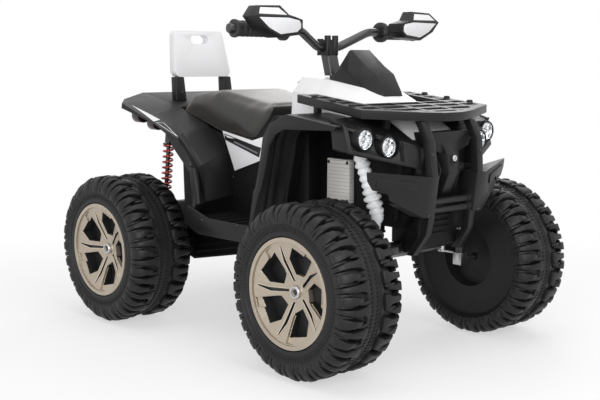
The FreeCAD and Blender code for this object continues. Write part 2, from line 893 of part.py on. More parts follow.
@cache
def tub():
    body = side_prism(belly() + spots(tub_top_shares), -tub_half_width, tub_half_width)
    ribs = []
    for number in range(belly_rib_count):
        rise = number * belly_rib_pitch
        low = [(x, z + rise) for x, z in belly()[1:]]
        high = [(x, z + rise + belly_rib_height) for x, z in reversed(belly()[1:])]
        ribs.append(side_prism(low + high, tub_half_width, tub_half_width + belly_rib_depth))
    ribs += [mirrored(rib) for rib in ribs]
    reach = V(0, half_width, 0)
    centre = V(rear_axle_x, 0, axle_z)
    axle = rod(centre - reach, centre + reach, stub_radius + hole_gap)
    cuts = [battery_box(seat_gap, deck_height), column_hole(), axle, rear_deck(), gearbox(), mirrored(gearbox())]
    return fused([body] + ribs).cut(cuts + [footboard(), mirrored(footboard())])


@cache
def front_bay():
    low = [(bay_rear_share * wheelbase, beam_top_z), (bay_front_share * wheelbase, beam_top_z)]
    body = side_prism(low + spots(bay_top_shares), -bay_half_width, bay_half_width)
    return body.cut(column_hole())


def battery():
    return battery_box(0, 0)


@cache
def seat():
    half = tub_half_width - seat_side_inset
    return side_prism(spots(seat_side_shares), -half, half)


def inset_outline(over, under, wall):
    thin = []
    for (ox, oz), (ux, uz) in zip(over, under):
        span = math.hypot(ux - ox, uz - oz)
        share = min(wall / span, 1)
        thin.append((ox + (ux - ox) * share, oz + (uz - oz) * share))
    return thin


@cache
def front_fender():
    over = spots(front_fender_over_shares)
    under = spots(front_fender_under_shares)
    thin = inset_outline(over, under, fender_wall)
    ribbed = inset_outline(over, under, fender_wall + liner_rib_depth)
    outer = front_fender_y
    shapes = [
        side_prism(over + thin[::-1], tub_half_width, outer),
        side_prism(over + under[::-1], outer - fender_rim, outer),
    ]
    for low_share, high_share in liner_rib_shares:
        low_y = low_share * body_half_width
        high_y = high_share * body_half_width
        shapes.append(side_prism(over[1:] + ribbed[:0:-1], min(low_y, high_y), max(low_y, high_y)))
    shapes.append(side_prism(over[-2:] + under[:-3:-1], outer, outer + fender_step))
    return fused(shapes)


def band_normals(points):
    normals = []
    for index, point in enumerate(points):
        before = points[max(index - 1, 0)]
        after = points[min(index + 1, len(points) - 1)]
        along = after - before
        normals.append(V(along.z, 0, -along.x).normalize())
    return normals


def band(near, far, normals, depths, lift=0):
    pieces = []
    for first in range(len(near) - 1):
        quads = []
        for index in (first, first + 1):
            up = normals[index] * -lift
            down = normals[index] * depths[index]
            a = near[index]
            b = far[index]
            quads.append([a + up, b + up, b + down, a + down])
        pieces.append(loft(quads))
    return pieces


@cache
def rear_fender():
    inner = [V(x, tub_half_width, z) for x, z in spots(rear_fender_inner_shares)]
    outer = [place(p) for p in rear_fender_outer_shares]
    normals = band_normals(inner)
    walls = [rear_fender_wall] * len(inner)
    rim_line = []
    rib_line = []
    for a, b in zip(inner, outer):
        inward = (a - b).normalize()
        rim_line.append(b + inward * rear_fender_rim_width)
        rib_line.append(b + inward * (rear_fender_rim_width + pillar_rib_width))
    shapes = band(inner, outer, normals, walls) + band(rim_line, outer, normals, rear_rim_depths)
    rib_walls = [rear_fender_wall / 2] * len(inner)
    shapes += band(rib_line[3:], rim_line[3:], normals[3:], rib_walls[3:], pillar_rib_depth)
    return fused(shapes).cut([footboard(), seat()])


@cache
def rear_deck():
    return side_prism(spots(deck_rear_shares), -tub_half_width, tub_half_width)


@cache
def footboard():
    outer = body_half_width + footboard_rim_reach
    floor_outline = spots(footboard_floor_shares)
    shapes = [
        side_prism(spots(footboard_side_shares), outer - footboard_wall, outer),
        side_prism(floor_outline, tub_half_width, outer),
    ]
    rear_x, front_x = (share * wheelbase for share in footboard_rib_shares)
    (x0, z0), (x1, z1) = floor_outline[:2]
    for number in range(footboard_rib_count):
        x = rear_x + number * (front_x - rear_x) / (footboard_rib_count - 1)
        z = z0 + (x - x0) * (z1 - z0) / (x1 - x0)
        shapes.append(block(V(x, tub_half_width, z - footboard_wall),
                            V(x + footboard_rib_width, outer - footboard_wall, z + footboard_rib_height)))
    return fused(shapes)


def side_insert():
    return side_prism(spots(insert_shares), tub_half_width, tub_half_width + insert_thickness)


@cache
def front_cowl():
    sections = []
    for x, top_y, top_z, mid_y, mid_z, foot_y, foot_z in cowl_section_shares:
        right = [
            (top_y * body_half_width, top_z), (mid_y * body_half_width, mid_z), (foot_y * tub_half_width, foot_z),
        ]
        ring = [(-y, z) for y, z in right] + [(y, z) for y, z in reversed(right)]
        sections.append([V(x * wheelbase, y, z * deck_height) for y, z in ring])
    sweep = [(x * wheelbase, y * body_half_width) for x, y in cowl_sweep_shares]
    rear_cut = plan_prism(sweep, 0, 2 * deck_height)
    cuts = [rear_cut, mirrored(rear_cut), column_hole(), sleeve(hole_gap), roomy(seat(), seat_gap), tub(), front_bay()]
    return chain(sections).cut(cuts)


def dash_cowl():
    edge = spots(dash_edge_shares)
    middle = spots(dash_mid_shares)
    stations = ((edge, -dash_edge_half), (middle, -dash_mid_half), (middle, dash_mid_half), (edge, dash_edge_half))
    sections = [[V(x, y, z) for x, z in outline] for outline, y in stations]
    return chain(sections).cut([sleeve(hole_gap), column_hole(), front_cowl()])


def lamp(shares):
    face = place(shares)
    return rod(face - V(lamp_depth, 0, 0), face, lamp_radius)


def pod_station(y, inset):
    low_y = bay_half_width
    high_y = body_half_width - pod_side_inset
    share = (y - low_y) / (high_y - low_y)
    points = []
    for (ax, az), (bx, bz) in zip(spots(pod_inner_shares), spots(pod_outer_shares)):
        points.append(V(ax + (bx - ax) * share, y, az + (bz - az) * share))
    rear_top, front_top, front_low, rear_low = points
    if inset == 0:
        return points
    forward = V(lamp_depth, 0, 0)
    back = V(pod_pocket_depth, 0, 0)
    down = V(0, 0, inset)
    return [front_top - back - down, front_top + forward - down, front_low + forward + down, front_low - back + down]


@cache
def pod():
    low_y = bay_half_width
    high_y = body_half_width - pod_side_inset
    body = loft([pod_station(low_y, 0), pod_station(high_y, 0)])
    pocket = loft([
        pod_station(low_y + 4 * pod_frame_width, pod_frame_width),
        pod_station(high_y - pod_frame_width, pod_frame_width),
    ])
    body = body.cut(pocket)
    rings = []
    bores = []
    for shares in lamp_shares:
        face = place(shares)
        back = face - V(lamp_depth, 0, 0)
        rings.append(rod(back, face - V(lamp_bezel, 0, 0), lamp_radius + lamp_bezel))
        bores.append(rod(back, face + V(2 * lamp_depth, 0, 0), lamp_radius + seat_gap))
    return fused([body] + rings).cut(bores + [front_bay(), front_cowl(), front_fender()])


def rack_z(x):
    rear_x, rear_z = spot(rack_rear_shares)
    front_x, front_z = spot(rack_front_shares)
    return rear_z + (x - rear_x) * (front_z - rear_z) / (front_x - rear_x)


def rack_slab(low, high):
    rear_x = 0
    front_x = wheelbase
    outline = [
        (rear_x, rack_z(rear_x) + low), (front_x, rack_z(front_x) + low),
        (front_x, rack_z(front_x) + high), (rear_x, rack_z(rear_x) + high),
    ]
    return side_prism(outline, -body_half_width, body_half_width)


def rack_plan():
    right = [(x * wheelbase, y * body_half_width) for x, y in rack_plan_shares]
    return right + [(x, -y) for x, y in reversed(right)]


def tall(outline):
    return plan_prism(outline, 0, 2 * deck_height)


def square(x, y, width):
    half = width / 2
    return [(x - half, y - half), (x + half, y - half), (x + half, y + half), (x - half, y + half)]


def rack_tooth(x, y):
    low = [V(a, b, rack_z(x) - overrun) for a, b in square(x, y, rack_tooth_length)]
    high = [V(a, b, rack_z(x) + rack_tooth_height) for a, b in square(x, y, rack_tooth_tip)]
    return loft([low, high])


@cache
def front_rack():
    plan = rack_plan()
    outer = tall(plan)
    wire = Part.makePolygon([V(x, y, 0) for x, y in plan + plan[:1]])
    inner = Part.Face(wire.makeOffset2D(-rack_rim_width)).extrude(V(0, 0, 2 * deck_height))
    rear_x = plan[0][0]
    front_x = plan[3][0]
    shapes = [outer.cut(inner).common(rack_slab(-rack_rim_depth, 0))]
    bars = []
    half = rack_slat_width / 2
    for number in range(1, rack_cross_count + 1):
        x = rear_x + number * (front_x - rear_x) / (rack_cross_count + 1)
        bars.append([(x - half, -body_half_width), (x + half, -body_half_width),
                     (x + half, body_half_width), (x - half, body_half_width)])
    for share in rack_long_shares:
        for side in (1, -1):
            y = side * share * body_half_width
            bars.append([(rear_x, y - half), (front_x, y - half), (front_x, y + half), (rear_x, y + half)])
    slat_slab = rack_slab(-rack_slat_depth, 0)
    shapes += [tall(bar).common(outer).common(slat_slab) for bar in bars]
    (x0, y0), (x1, y1) = plan[:2]
    for share in rack_tooth_shares:
        x = share * wheelbase
        y = y0 + (x - x0) * (y1 - y0) / (x1 - x0) - rack_rim_width / 2
        shapes += [rack_tooth(x, y), rack_tooth(x, -y)]
    opening_x = rack_opening_front_share * wheelbase
    opening = block(V(0, -rack_opening_half, 0), V(opening_x, rack_opening_half, 2 * deck_height))
    body = fused(shapes).cut(opening)
    feet = []
    for shares in rack_foot_shares:
        for side in (1, -1):
            low = place(shares, side)
            high_z = rack_z(low.x) - rack_slat_depth / 2
            feet.append(plan_prism(square(low.x, low.y, rack_foot_width), low.z, high_z))
    carriers = [pod(), mirrored(pod()), front_fender(), mirrored(front_fender()), front_cowl(), front_bay(), tub()]
    return fused([body] + feet).cut(carriers)


def square_bar(points, width):
    half = width / 2
    sections = []
    for point in points:
        sections.append([
            point + V(-half, -half, 0), point + V(half, -half, 0),
            point + V(half, half, 0), point + V(-half, half, 0),
        ])
    return chain(sections)


def bumper_wing(side):
    mid = spots(bumper_mid_shares)
    tip = spots(bumper_tip_shares)
    tip_y = side * bumper_tip_share * body_half_width
    inner = [V(x, side * bumper_inner_y, z) for x, z in mid]
    plate = [V(x, side * bumper_plate_y, z) for x, z in mid]
    outer = [V(x, tip_y, z) for x, z in tip]
    wing = loft([plate, outer])
    raised = []
    for across, down in bumper_inset_shares:
        high = plate[0] + (outer[0] - plate[0]) * across
        low = plate[1] + (outer[1] - plate[1]) * across
        at = high + (low - high) * down
        raised.append((at.y, at.z))
    pad = wing.copy()
    pad.translate(V(bumper_inset_depth, 0, 0))
    return [loft([inner, plate]), wing, pad.common(front_prism(raised, 0, wheelbase))]


def bumper():
    shapes = []
    for side in (1, -1):
        post = [place(p, side) for p in reversed(bumper_post_shares)]
        shapes.append(square_bar(post, bumper_post_width))
        shapes.append(square_bar([place(p, side) for p in reversed(bumper_leg_shares)], bumper_post_width))
        shapes += bumper_wing(side)
    for share in bumper_bar_heights_shares:
        x, z = spot((bumper_bar_share, share))
        shapes.append(rod(V(x, -bumper_plate_y, z), V(x, bumper_plate_y, z), bumper_bar_radius))
        for side in (1, -1):
            start = V(x, side * bumper_inner_y, z)
            shapes.append(rod(start, start - V(0, side * bumper_collar_width, 0), bumper_collar_radius))
    return fused(shapes).cut([front_rack(), skid_plate(), grille()])


@cache
def grille():
    half_outline = [(y * body_half_width, z * deck_height) for y, z in grille_outline_shares]
    front = grille_front_share * wheelbase
    plate_front = front + grille_thickness
    shapes = [front_prism(mirror_outline(half_outline), front, plate_front)]
    sections = []
    for x, y, z in grille_nose_shares:
        nose_x = x * wheelbase
        half = y * body_half_width
        height = z * deck_height
        root = half + grille_nose_root
        sections.append([V(front, -root, height), V(nose_x, -half, height), V(nose_x, half, height), V(front, root, height)])
    shapes.append(chain(sections))
    nose_half = grille_nose_shares[1][1] * body_half_width
    for number in range(grille_rib_count):
        y = nose_half + (number + 1) * grille_rib_pitch
        drop = number * grille_rib_drop
        profile = [(x - drop, z) for x, z in spots(grille_rib_profile_shares)]
        outline = [(front, profile[0][1])] + profile + [(front, profile[-1][1])]
        rib = side_prism(outline, y, y + grille_rib_width)
        shapes += [rib, mirrored(rib)]
    hood = [(y * body_half_width, z * deck_height) for y, z in hood_shares]
    hood_front = hood_front_share * wheelbase
    shapes.append(front_prism(mirror_outline(hood), front, hood_front))
    nose_x = grille_nose_shares[1][0] * wheelbase
    centre = V(nose_x, 0, badge_height_share * deck_height)
    back = centre - V(badge_depth, 0, 0)
    front_face = centre + V(badge_depth, 0, 0)
    shapes.append(rod(back, front_face, badge_radius))
    hole = rod(centre, front_face + V(overrun, 0, 0), badge_hole_radius)
    return fused(shapes).cut([hole, front_bay(), pod(), mirrored(pod()), front_cowl()])


@cache
def skid_plate():
    body = side_prism(spots(skid_side_shares), -skid_half_width, skid_half_width)
    skirt = side_prism(spots(skirt_side_shares), skid_half_width, bay_half_width + skirt_width)
    shapes = [body, skirt, mirrored(skirt)]
    (x0, z0), (x1, z1) = spots(skid_rung_shares)
    for number in range(skid_rung_count):
        share = number / (skid_rung_count - 1)
        x = x0 + (x1 - x0) * share
        z = z0 + (z1 - z0) * share
        half = skid_rung_width / 2
        shapes.append(block(V(x - skid_rung_depth, -half, z), V(x + skid_rung_depth, half, z + skid_rung_height)))
    return fused(shapes).cut([front_bay(), grille()])


def side_panel():
    low_x, low_z = spot(side_panel_low_shares)
    high_x, high_z = spot(side_panel_high_shares)
    inner = bay_half_width
    outer = inner + side_panel_thickness
    shapes = [block(V(low_x, inner, low_z), V(high_x, outer, high_z))]
    pitch = (high_z - low_z) / side_panel_rib_count
    for number in range(side_panel_rib_count):
        z = low_z + number * pitch + pitch / 4
        shapes.append(block(V(low_x, inner, z), V(high_x, outer + side_panel_rib_depth, z + pitch / 2)))
    return fused(shapes)


def bellows(top, bottom, root_radius, rib_radii):
    along = (bottom - top) * (1 / len(rib_radii))
    shapes = [rod(top, bottom, root_radius)]
    for number, radius in enumerate(rib_radii):
        near = top + along * number
        middle = near + along * 0.5
        shapes.append(cone(near, middle, root_radius, radius))
        shapes.append(cone(middle, near + along, radius, root_radius))
    return shapes


def strut():
    x, z = spot(strut_bottom_shares)
    bottom = V(x, strut_foot_y, z)
    foot = V(front_axle_x, strut_foot_y, beam_z)
    radii = [strut_rib_radius] * strut_rib_count + [strut_low_rib_radius] * strut_low_rib_count
    shapes = bellows(place(strut_top_shares), bottom, strut_root_radius, radii)
    shapes.append(rod(bottom, foot, strut_tube_radius))
    return fused(shapes).cut([pod(), front_beam(), front_fender(), front_bay()])


@cache
def shock():
    top_x, top_z = spot(shock_top_shares)
    low_x, low_z = spot(shock_bottom_shares)
    top = V(top_x, tub_half_width + shock_top_standoff, top_z)
    bottom = V(low_x, tub_half_width + shock_bottom_standoff, low_z)
    middle = (top + bottom) * 0.5
    shapes = bellows(top, middle, shock_body_radius, [shock_coil_radius] * shock_turn_count)
    shapes.append(rod(middle, bottom, shock_body_radius))
    return fused(shapes).cut([rear_fender(), gearbox()])


def backrest_panel():
    low_x, low_z = spot(back_bottom_shares)
    high_x, high_z = spot(back_top_shares)
    t = back_panel_thickness
    low = [V(low_x, -back_bottom_half, low_z), V(low_x, back_bottom_half, low_z),
           V(low_x - t, back_bottom_half, low_z), V(low_x - t, -back_bottom_half, low_z)]
    high = [V(high_x, -back_top_half, high_z), V(high_x, back_top_half, high_z),
            V(high_x - t, back_top_half, high_z), V(high_x - t, -back_top_half, high_z)]
    body = rounded(loft([low, high]), V(1, 0, 0), back_corner_radius)
    slot_z = high_z - back_slot_drop - back_slot_height / 2
    half = back_slot_length / 2 - back_slot_height / 2
    reach = back_panel_thickness * 2
    ends = []
    for side in (1, -1):
        start = V(high_x - reach, side * half, slot_z)
        ends.append(rod(start, start + V(2 * reach, 0, 0), back_slot_height / 2))
    middle = block(V(high_x - reach, -half, slot_z - back_slot_height / 2),
                   V(high_x + reach, half, slot_z + back_slot_height / 2))
    return body.cut(ends + [middle])


def backrest_frame():
    low_x, low_z = spot(back_bottom_shares)
    foot_x, foot_z = spot(back_post_foot_shares)
    posts = []
    for side in (1, -1):
        y = side * back_post_spread
        sections = []
        for x, z, width in ((foot_x, foot_z, back_post_foot_width), (low_x, low_z, back_post_width)):
            reach = width / 2
            sections.append([V(x, y - reach, z), V(x, y + reach, z), V(x - back_post_depth, y + reach, z),
                             V(x - back_post_depth, y - reach, z)])
        posts.append(loft(sections).cut([rear_deck(), tub()]))
    return Part.makeCompound(posts)


def tail_lamp(shares):
    centre = place(shares)
    return rod(centre - V(tail_length, 0, 0), centre, tail_radius).cut([rear_fender(), shock()])


wheel_tyre = tyre()
wheel_rim = rim()
corners = {
    "front_left": (front_axle_x, 1), "front_right": (front_axle_x, -1),
    "rear_left": (rear_axle_x, 1), "rear_right": (rear_axle_x, -1),
}
for corner, (axle_x, side) in corners.items():
    save("tyre_" + corner, wheel_at(wheel_tyre, axle_x, side, 0))
    save("rim_" + corner, wheel_at(wheel_rim, axle_x, side, 0))

save("rear_axle", rear_axle())
save("rear_gearboxes", both(gearbox()))
save("front_beam", front_beam())
save("knuckle_left", knuckle())
save("knuckle_right", mirrored(knuckle()))
save("tie_rod", tie_rod())
save("steering_column", steering_column())
save("handlebar", handlebar())
save("bar_clamp", bar_clamp())
save("grips", both(grip()))
save("handguards", both(handguard()))
save("guard_panels", guard_panels())
save("tub", tub())
save("front_bay", front_bay())
save("battery", battery())
save("seat", seat())
save("front_fender_left", front_fender())
save("front_fender_right", mirrored(front_fender()))
save("rear_fender_left", rear_fender())
save("rear_fender_right", mirrored(rear_fender()))
save("rear_deck", rear_deck())
save("footboards", both(footboard()))
save("side_inserts", both(side_insert()))
save("front_cowl", front_cowl())
save("dash_cowl", dash_cowl())
save("headlamp_pods", both(pod()))
lamps = [lamp(shares) for shares in lamp_shares]
save("headlamps", Part.makeCompound(lamps + [mirrored(one) for one in lamps]))
save("front_rack", front_rack())
save("bumper", bumper())
save("grille", grille())
save("skid_plate", skid_plate())
save("side_panels", both(side_panel()))
save("front_struts", both(strut()))
save("rear_shocks", both(shock()))
save("backrest_panel", backrest_panel())
save("backrest_frame", backrest_frame())
tails = [tail_lamp(shares) for shares in tail_shares]
save("tail_lamps", Part.makeCompound(tails + [mirrored(one) for one in tails]))
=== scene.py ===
"""Looks of a child's battery ride-on quad bike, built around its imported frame."""

import json
import math

import bpy
from bpy.props import FloatProperty, FloatVectorProperty, IntProperty, PointerProperty
from mathutils import Euler, Matrix, Vector

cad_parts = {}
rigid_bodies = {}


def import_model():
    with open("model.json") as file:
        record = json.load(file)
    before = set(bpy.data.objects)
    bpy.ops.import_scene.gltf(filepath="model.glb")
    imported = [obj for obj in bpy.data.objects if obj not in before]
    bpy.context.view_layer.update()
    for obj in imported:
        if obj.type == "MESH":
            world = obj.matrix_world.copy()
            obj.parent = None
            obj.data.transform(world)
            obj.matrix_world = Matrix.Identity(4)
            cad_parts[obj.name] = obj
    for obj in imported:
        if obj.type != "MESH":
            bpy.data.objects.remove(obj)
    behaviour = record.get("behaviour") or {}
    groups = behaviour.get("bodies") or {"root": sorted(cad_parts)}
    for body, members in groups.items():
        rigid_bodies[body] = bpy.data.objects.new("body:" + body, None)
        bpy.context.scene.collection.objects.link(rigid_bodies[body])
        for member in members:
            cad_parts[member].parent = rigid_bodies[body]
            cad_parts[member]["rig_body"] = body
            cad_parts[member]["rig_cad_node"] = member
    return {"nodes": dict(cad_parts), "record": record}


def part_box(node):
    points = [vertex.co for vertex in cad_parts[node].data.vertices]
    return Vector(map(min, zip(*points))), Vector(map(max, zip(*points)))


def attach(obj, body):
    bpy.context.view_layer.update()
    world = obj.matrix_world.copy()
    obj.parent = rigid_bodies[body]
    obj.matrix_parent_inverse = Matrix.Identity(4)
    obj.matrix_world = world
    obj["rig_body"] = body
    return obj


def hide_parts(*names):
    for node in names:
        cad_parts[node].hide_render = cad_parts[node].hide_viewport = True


bl_info = {
    "name": "Ride-on quad bike",
    "version": (1, 0, 0),
    "blender": (4, 5, 0),
    "location": "View3D > Sidebar > Quad bike",
    "description": "Builds the finished look of a child's ride-on quad bike around its frame",
    "category": "Object",
}

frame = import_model()

CORNERS = ("front_left", "front_right", "rear_left", "rear_right")
MM = 0.001
PATCH = 1e-5
FLAT = math.radians(0.5)
ORIGIN = (0, 0, 0)
FORWARD = Vector((1, 0, 0))
CREASE = math.radians(28)
SMOOTH_DEGREES = 38
SHEET_EDGE = 0.0005
FILM_CUTS = 5
FILM_LIFT = 0.0005
FILM_WALL = 0.0003


# Sizes and colours that a user would change
def length(name, text, default):
    return FloatProperty(name=name, description=text, default=default, unit="LENGTH", subtype="DISTANCE")


def angle(name, text, default):
    return FloatProperty(name=name, description=text, default=math.radians(default), subtype="ANGLE")


def colour(name, text, default):
    return FloatVectorProperty(
        name=name, description=text, default=default, subtype="COLOR", size=3, min=0, max=1
    )


class QuadColours(bpy.types.PropertyGroup):
    body: colour("Body", "Black moulded plastic of the body", (0.0085, 0.0085, 0.0092))
    # Painted shade: the body black darkened for the parts that sit in recesses and under the body
    inner: colour("Inner body", "Darker plastic of the inner panels", (0.0030, 0.0030, 0.0033))
    tyre: colour("Tyre", "Plastic of the tyres", (0.0110, 0.0110, 0.0120))
    white: colour("White", "White moulded panels", (0.79, 0.79, 0.80))
    bronze: colour("Bronze", "Paint of the rims", (0.43, 0.37, 0.295))
    silver: colour("Silver", "Paint of the side panels", (0.70, 0.69, 0.66))
    seat: colour("Seat", "Soft cover of the seat", (0.015, 0.0145, 0.014))
    spring: colour("Spring", "Paint of the rear springs", (0.45, 0.03, 0.02))


class QuadTyre(bpy.types.PropertyGroup):
    lugs: IntProperty(name="Lugs", description="Lugs round each shoulder", default=24, min=8, max=60)
    knurls: IntProperty(name="Knurls", description="Marks round the middle", default=120, min=20, max=240)


class QuadTrim(bpy.types.PropertyGroup):
    edge: length("Edge", "Rounding of the moulded edges", 0.0020)
    fine_edge: length("Fine edge", "Rounding of the small pieces' edges", 0.0008)
    bolt: length("Bolt", "Radius of the bolt heads", 0.0035)


class QuadStage(bpy.types.PropertyGroup):
    azimuth: angle("Azimuth", "Camera's turn round the quad bike", 46.93)
    elevation: angle("Elevation", "Camera's tilt above the floor", 7.49)
    place: FloatVectorProperty(
        name="Camera", description="Place of the camera", default=(1.7483, -1.6393, 0.6015),
        subtype="TRANSLATION", size=3,
    )
    lens: FloatProperty(name="Lens", description="Focal length in millimetres", default=62.98, unit="CAMERA")
    surround: FloatProperty(name="Surroundings", description="Light from all round", default=0.42, min=0)


def colours():
    return bpy.context.scene.quad_colours


def trim():
    return bpy.context.scene.quad_trim


# Shader maths written as expressions
class Wire:
    """One socket's value, which adds maths nodes when it is used in a sum."""

    def __init__(self, nodes, socket):
        self.nodes = nodes
        self.socket = socket

    def __add__(self, other):
        return self.nodes.maths("ADD", self, other)

    def __radd__(self, other):
        return self.nodes.maths("ADD", other, self)

    def __sub__(self, other):
        return self.nodes.maths("SUBTRACT", self, other)

    def __rsub__(self, other):
        return self.nodes.maths("SUBTRACT", other, self)

    def __mul__(self, other):
        return self.nodes.maths("MULTIPLY", self, other)

    def __rmul__(self, other):
        return self.nodes.maths("MULTIPLY", other, self)

    def __gt__(self, other):
        return self.nodes.maths("GREATER_THAN", self, other)


class Nodes:
    """A tree of nodes, which all come from one method."""

    def __init__(self, tree):
        self.tree = tree

    def node(self, kind, settings=None, values=None, out=0):
        made = self.tree.nodes.new(kind)
        for key, value in (settings or {}).items():
            setattr(made, key, value)
        for key, value in (values or {}).items():
            if isinstance(value, Wire):
                self.link(value, made.inputs[key])
            else:
                made.inputs[key].default_value = value
        return Wire(self, made.outputs[out])

    def link(self, wire, socket):
        self.tree.links.new(wire.socket, socket)

    def maths(self, operation, *values):
        return self.node("ShaderNodeMath", {"operation": operation}, dict(enumerate(values)))

    def lamp_rays(self):
        """1 for rays from the camera and for rays that a shiny or clear surface sends on."""
        rays = self.node("ShaderNodeLightPath").socket.node.outputs
        camera, glossy, clear = (
            Wire(self, rays[name]) for name in ("Is Camera Ray", "Is Glossy Ray", "Is Transmission Ray")
        )
        return self.maths("MAXIMUM", camera, self.maths("MAXIMUM", glossy, clear))


# A colour Mix node's sockets
MIX_SHARE, MIX_LOW, MIX_HIGH, MIX_RESULT = 0, 6, 7, 2


class Finish(Nodes):
    """A material about one Principled shader."""

    def __init__(self, name, shade, roughness, **constants):
        self.material = bpy.data.materials.new(name)
        self.material.use_nodes = True
        self.material.diffuse_color = (*shade, 1)
        super().__init__(self.material.node_tree)
        self.shader = self.tree.nodes["Principled BSDF"]
        self.shader.inputs["Base Color"].default_value = (*shade, 1)
        self.shader.inputs["Roughness"].default_value = roughness
        for key, value in constants.items():
            self.shader.inputs[key.replace("_", " ")].default_value = value

    def place(self):
        return self.node("ShaderNodeTexCoord", out="Object")

    def height(self):
        return self.node("ShaderNodeSeparateXYZ", values={0: self.place()}, out="Z")

    def noise(self, scale, detail=3.0):
        values = {"Vector": self.place(), "Scale": scale, "Detail": detail}
        return self.node("ShaderNodeTexNoise", values=values)

    def mix(self, share, low, high):
        values = {MIX_SHARE: share, MIX_LOW: (*low, 1), MIX_HIGH: (*high, 1)}
        return self.node("ShaderNodeMix", {"data_type": "RGBA"}, values, MIX_RESULT)

    def feed(self, socket, wire):
        self.link(wire, self.shader.inputs[socket])

    def bump(self, height, distance, strength=1.0):
        values = {"Height": height, "Distance": distance, "Strength": strength}
        self.feed("Normal", self.node("ShaderNodeBump", values=values))


def shaded(shade, share):
    return tuple(min(1.0, part * share) for part in shade)


def moulded(name, shade, roughness, grain=900.0, depth=0.00006, cloud=9.0, contrast=0.10, **constants):
    """Moulded plastic: fine grain, soft clouds in its gloss and a slight drift in its colour."""
    finish = Finish(name, shade, roughness, **constants)
    drift = finish.noise(cloud, 4.0)
    spread = 0.10
    finish.feed("Base Color", finish.mix(drift, shaded(shade, 1 - contrast), shaded(shade, 1 + contrast)))
    finish.feed("Roughness", drift * spread + (roughness - spread / 2))
    finish.bump(finish.noise(grain, 2.0), depth)
    return finish.material


def make_finishes():
    tone = colours()
    return {
        "body": moulded("black_moulding", tone.body, 0.40, Specular_IOR_Level=0.28),
        # Painted shade: a darker copy of the body black for recessed and underneath parts
        "inner": moulded("shaded_moulding", tone.inner, 0.55, Specular_IOR_Level=0.2),
        "tyre": moulded(
            "tyre_plastic", tone.tyre, 0.46, grain=500.0, depth=0.0001, cloud=14.0, contrast=0.14,
            Specular_IOR_Level=0.27,
        ),
        "white": moulded(
            "white_moulding", tone.white, 0.26, grain=60.0, depth=0.00004, contrast=0.02,
            Specular_IOR_Level=0.3, Coat_Weight=0.05, Coat_Roughness=0.1,
        ),
        "bronze": bronze_paint(tone.bronze),
        # Painted highlight: a lighter, more metallic copy of the bronze for the rims' rounded edges and
        # groove beads
        "edge_highlight": highlight_edge((0.62, 0.56, 0.47)),
        "groove": moulded("groove_paint", (0.014, 0.014, 0.014), 0.35),
        "silver": lined_paint(tone.silver),
        "steel": plated_steel((0.56, 0.56, 0.57)),
        "black_steel": moulded(
            "black_lacquer", (0.016, 0.016, 0.017), 0.30, grain=300.0, depth=0.00003, Coat_Weight=0.3,
        ),
        "seat": seat_cover(tone.seat),
        "grip": moulded("grip_rubber", (0.020, 0.020, 0.021), 0.62, grain=1500.0, depth=0.0001),
        "spring": moulded("spring_paint", tone.spring, 0.30, grain=200.0, depth=0.00003, Coat_Weight=0.4),
        # Painted light: the bellows' white is raised above the panels' white against the shade under the
        # pods
        "bellows": moulded(
            "lit_white_bellows", (0.92, 0.93, 0.94), 0.40, grain=400.0, depth=0.00004, contrast=0.03,
        ),
        "film_white": moulded(
            "white_film", (0.80, 0.80, 0.81), 0.30, grain=200.0, depth=0.00001, contrast=0.02,
        ),
        "film_black": moulded("black_film", (0.010, 0.010, 0.011), 0.30, grain=200.0, depth=0.00001),
        "film_grey": moulded("grey_film", (0.19, 0.19, 0.20), 0.30, grain=200.0, depth=0.00001),
        "battery": moulded("battery_case", (0.05, 0.05, 0.055), 0.45),
        "tail": moulded(
            "tail_lens", (0.016, 0.004, 0.004), 0.30, grain=200.0, depth=0.00005, Coat_Weight=0.1,
        ),
        "chrome": reflector((0.86, 0.87, 0.88)),
        "lens": clear_lens((0.96, 0.97, 0.98)),
    }


def bronze_paint(shade):
    """Champagne-bronze paint with fine flakes."""
    finish = Finish("bronze_paint", shade, 0.34, Metallic=0.72, Coat_Weight=0.25, Coat_Roughness=0.15)
    flake = finish.noise(2600.0, 1.0)
    drift = finish.noise(11.0)
    blend = drift * 0.6 + flake * 0.4
    finish.feed("Base Color", finish.mix(blend, shaded(shade, 0.86), shaded(shade, 1.14)))
    finish.feed("Roughness", drift * 0.10 + 0.29)
    finish.bump(finish.noise(1200.0, 2.0), 0.00003)
    return finish.material


LINE_PITCH = 7.4
LINE_START = 0.88


def lined_paint(shade):
    """Light paint with fine moulded lines across it, each line darkened as painted shade."""
    finish = Finish("lined_paint", shade, 0.40, Metallic=0.1)
    step = finish.maths("FRACT", finish.height() * (1 / (LINE_PITCH * MM)))
    line = step > LINE_START
    # Painted shade: each line's colour is darkened, as the shade in the fins' grooves
    finish.feed("Base Color", finish.mix(line, shade, shaded(shade, 0.72)))
    finish.feed("Roughness", finish.noise(30.0) * 0.12 + 0.34)
    finish.bump(1 - line, 0.0004)
    return finish.material


# Painted highlight: lighter bronze that stands in for light caught on the rims' edges
def highlight_edge(shade):
    finish = Finish("highlight_edge", shade, 0.22, Metallic=0.9)
    finish.feed("Roughness", finish.noise(60.0) * 0.12 + 0.16)
    finish.bump(finish.noise(700.0, 2.0), 0.00002)
    return finish.material


def plated_steel(shade):
    finish = Finish("plated_steel", shade, 0.3, Metallic=1.0)
    finish.feed("Roughness", finish.noise(120.0, 4.0) * 0.18 + 0.22)
    finish.bump(finish.noise(800.0, 2.0), 0.00002)
    return finish.material


def reflector(shade):
    finish = Finish("reflector", shade, 0.08, Metallic=1.0)
    finish.feed("Roughness", finish.noise(40.0, 2.0) * 0.06 + 0.05)
    finish.bump(finish.noise(90.0, 2.0), 0.00003)
    return finish.material


def clear_lens(shade):
    finish = Finish("clear_lens", shade, 0.04, Transmission_Weight=1.0, IOR=1.49)
    finish.bump(finish.noise(60.0, 1.0), 0.00002)
    return finish.material


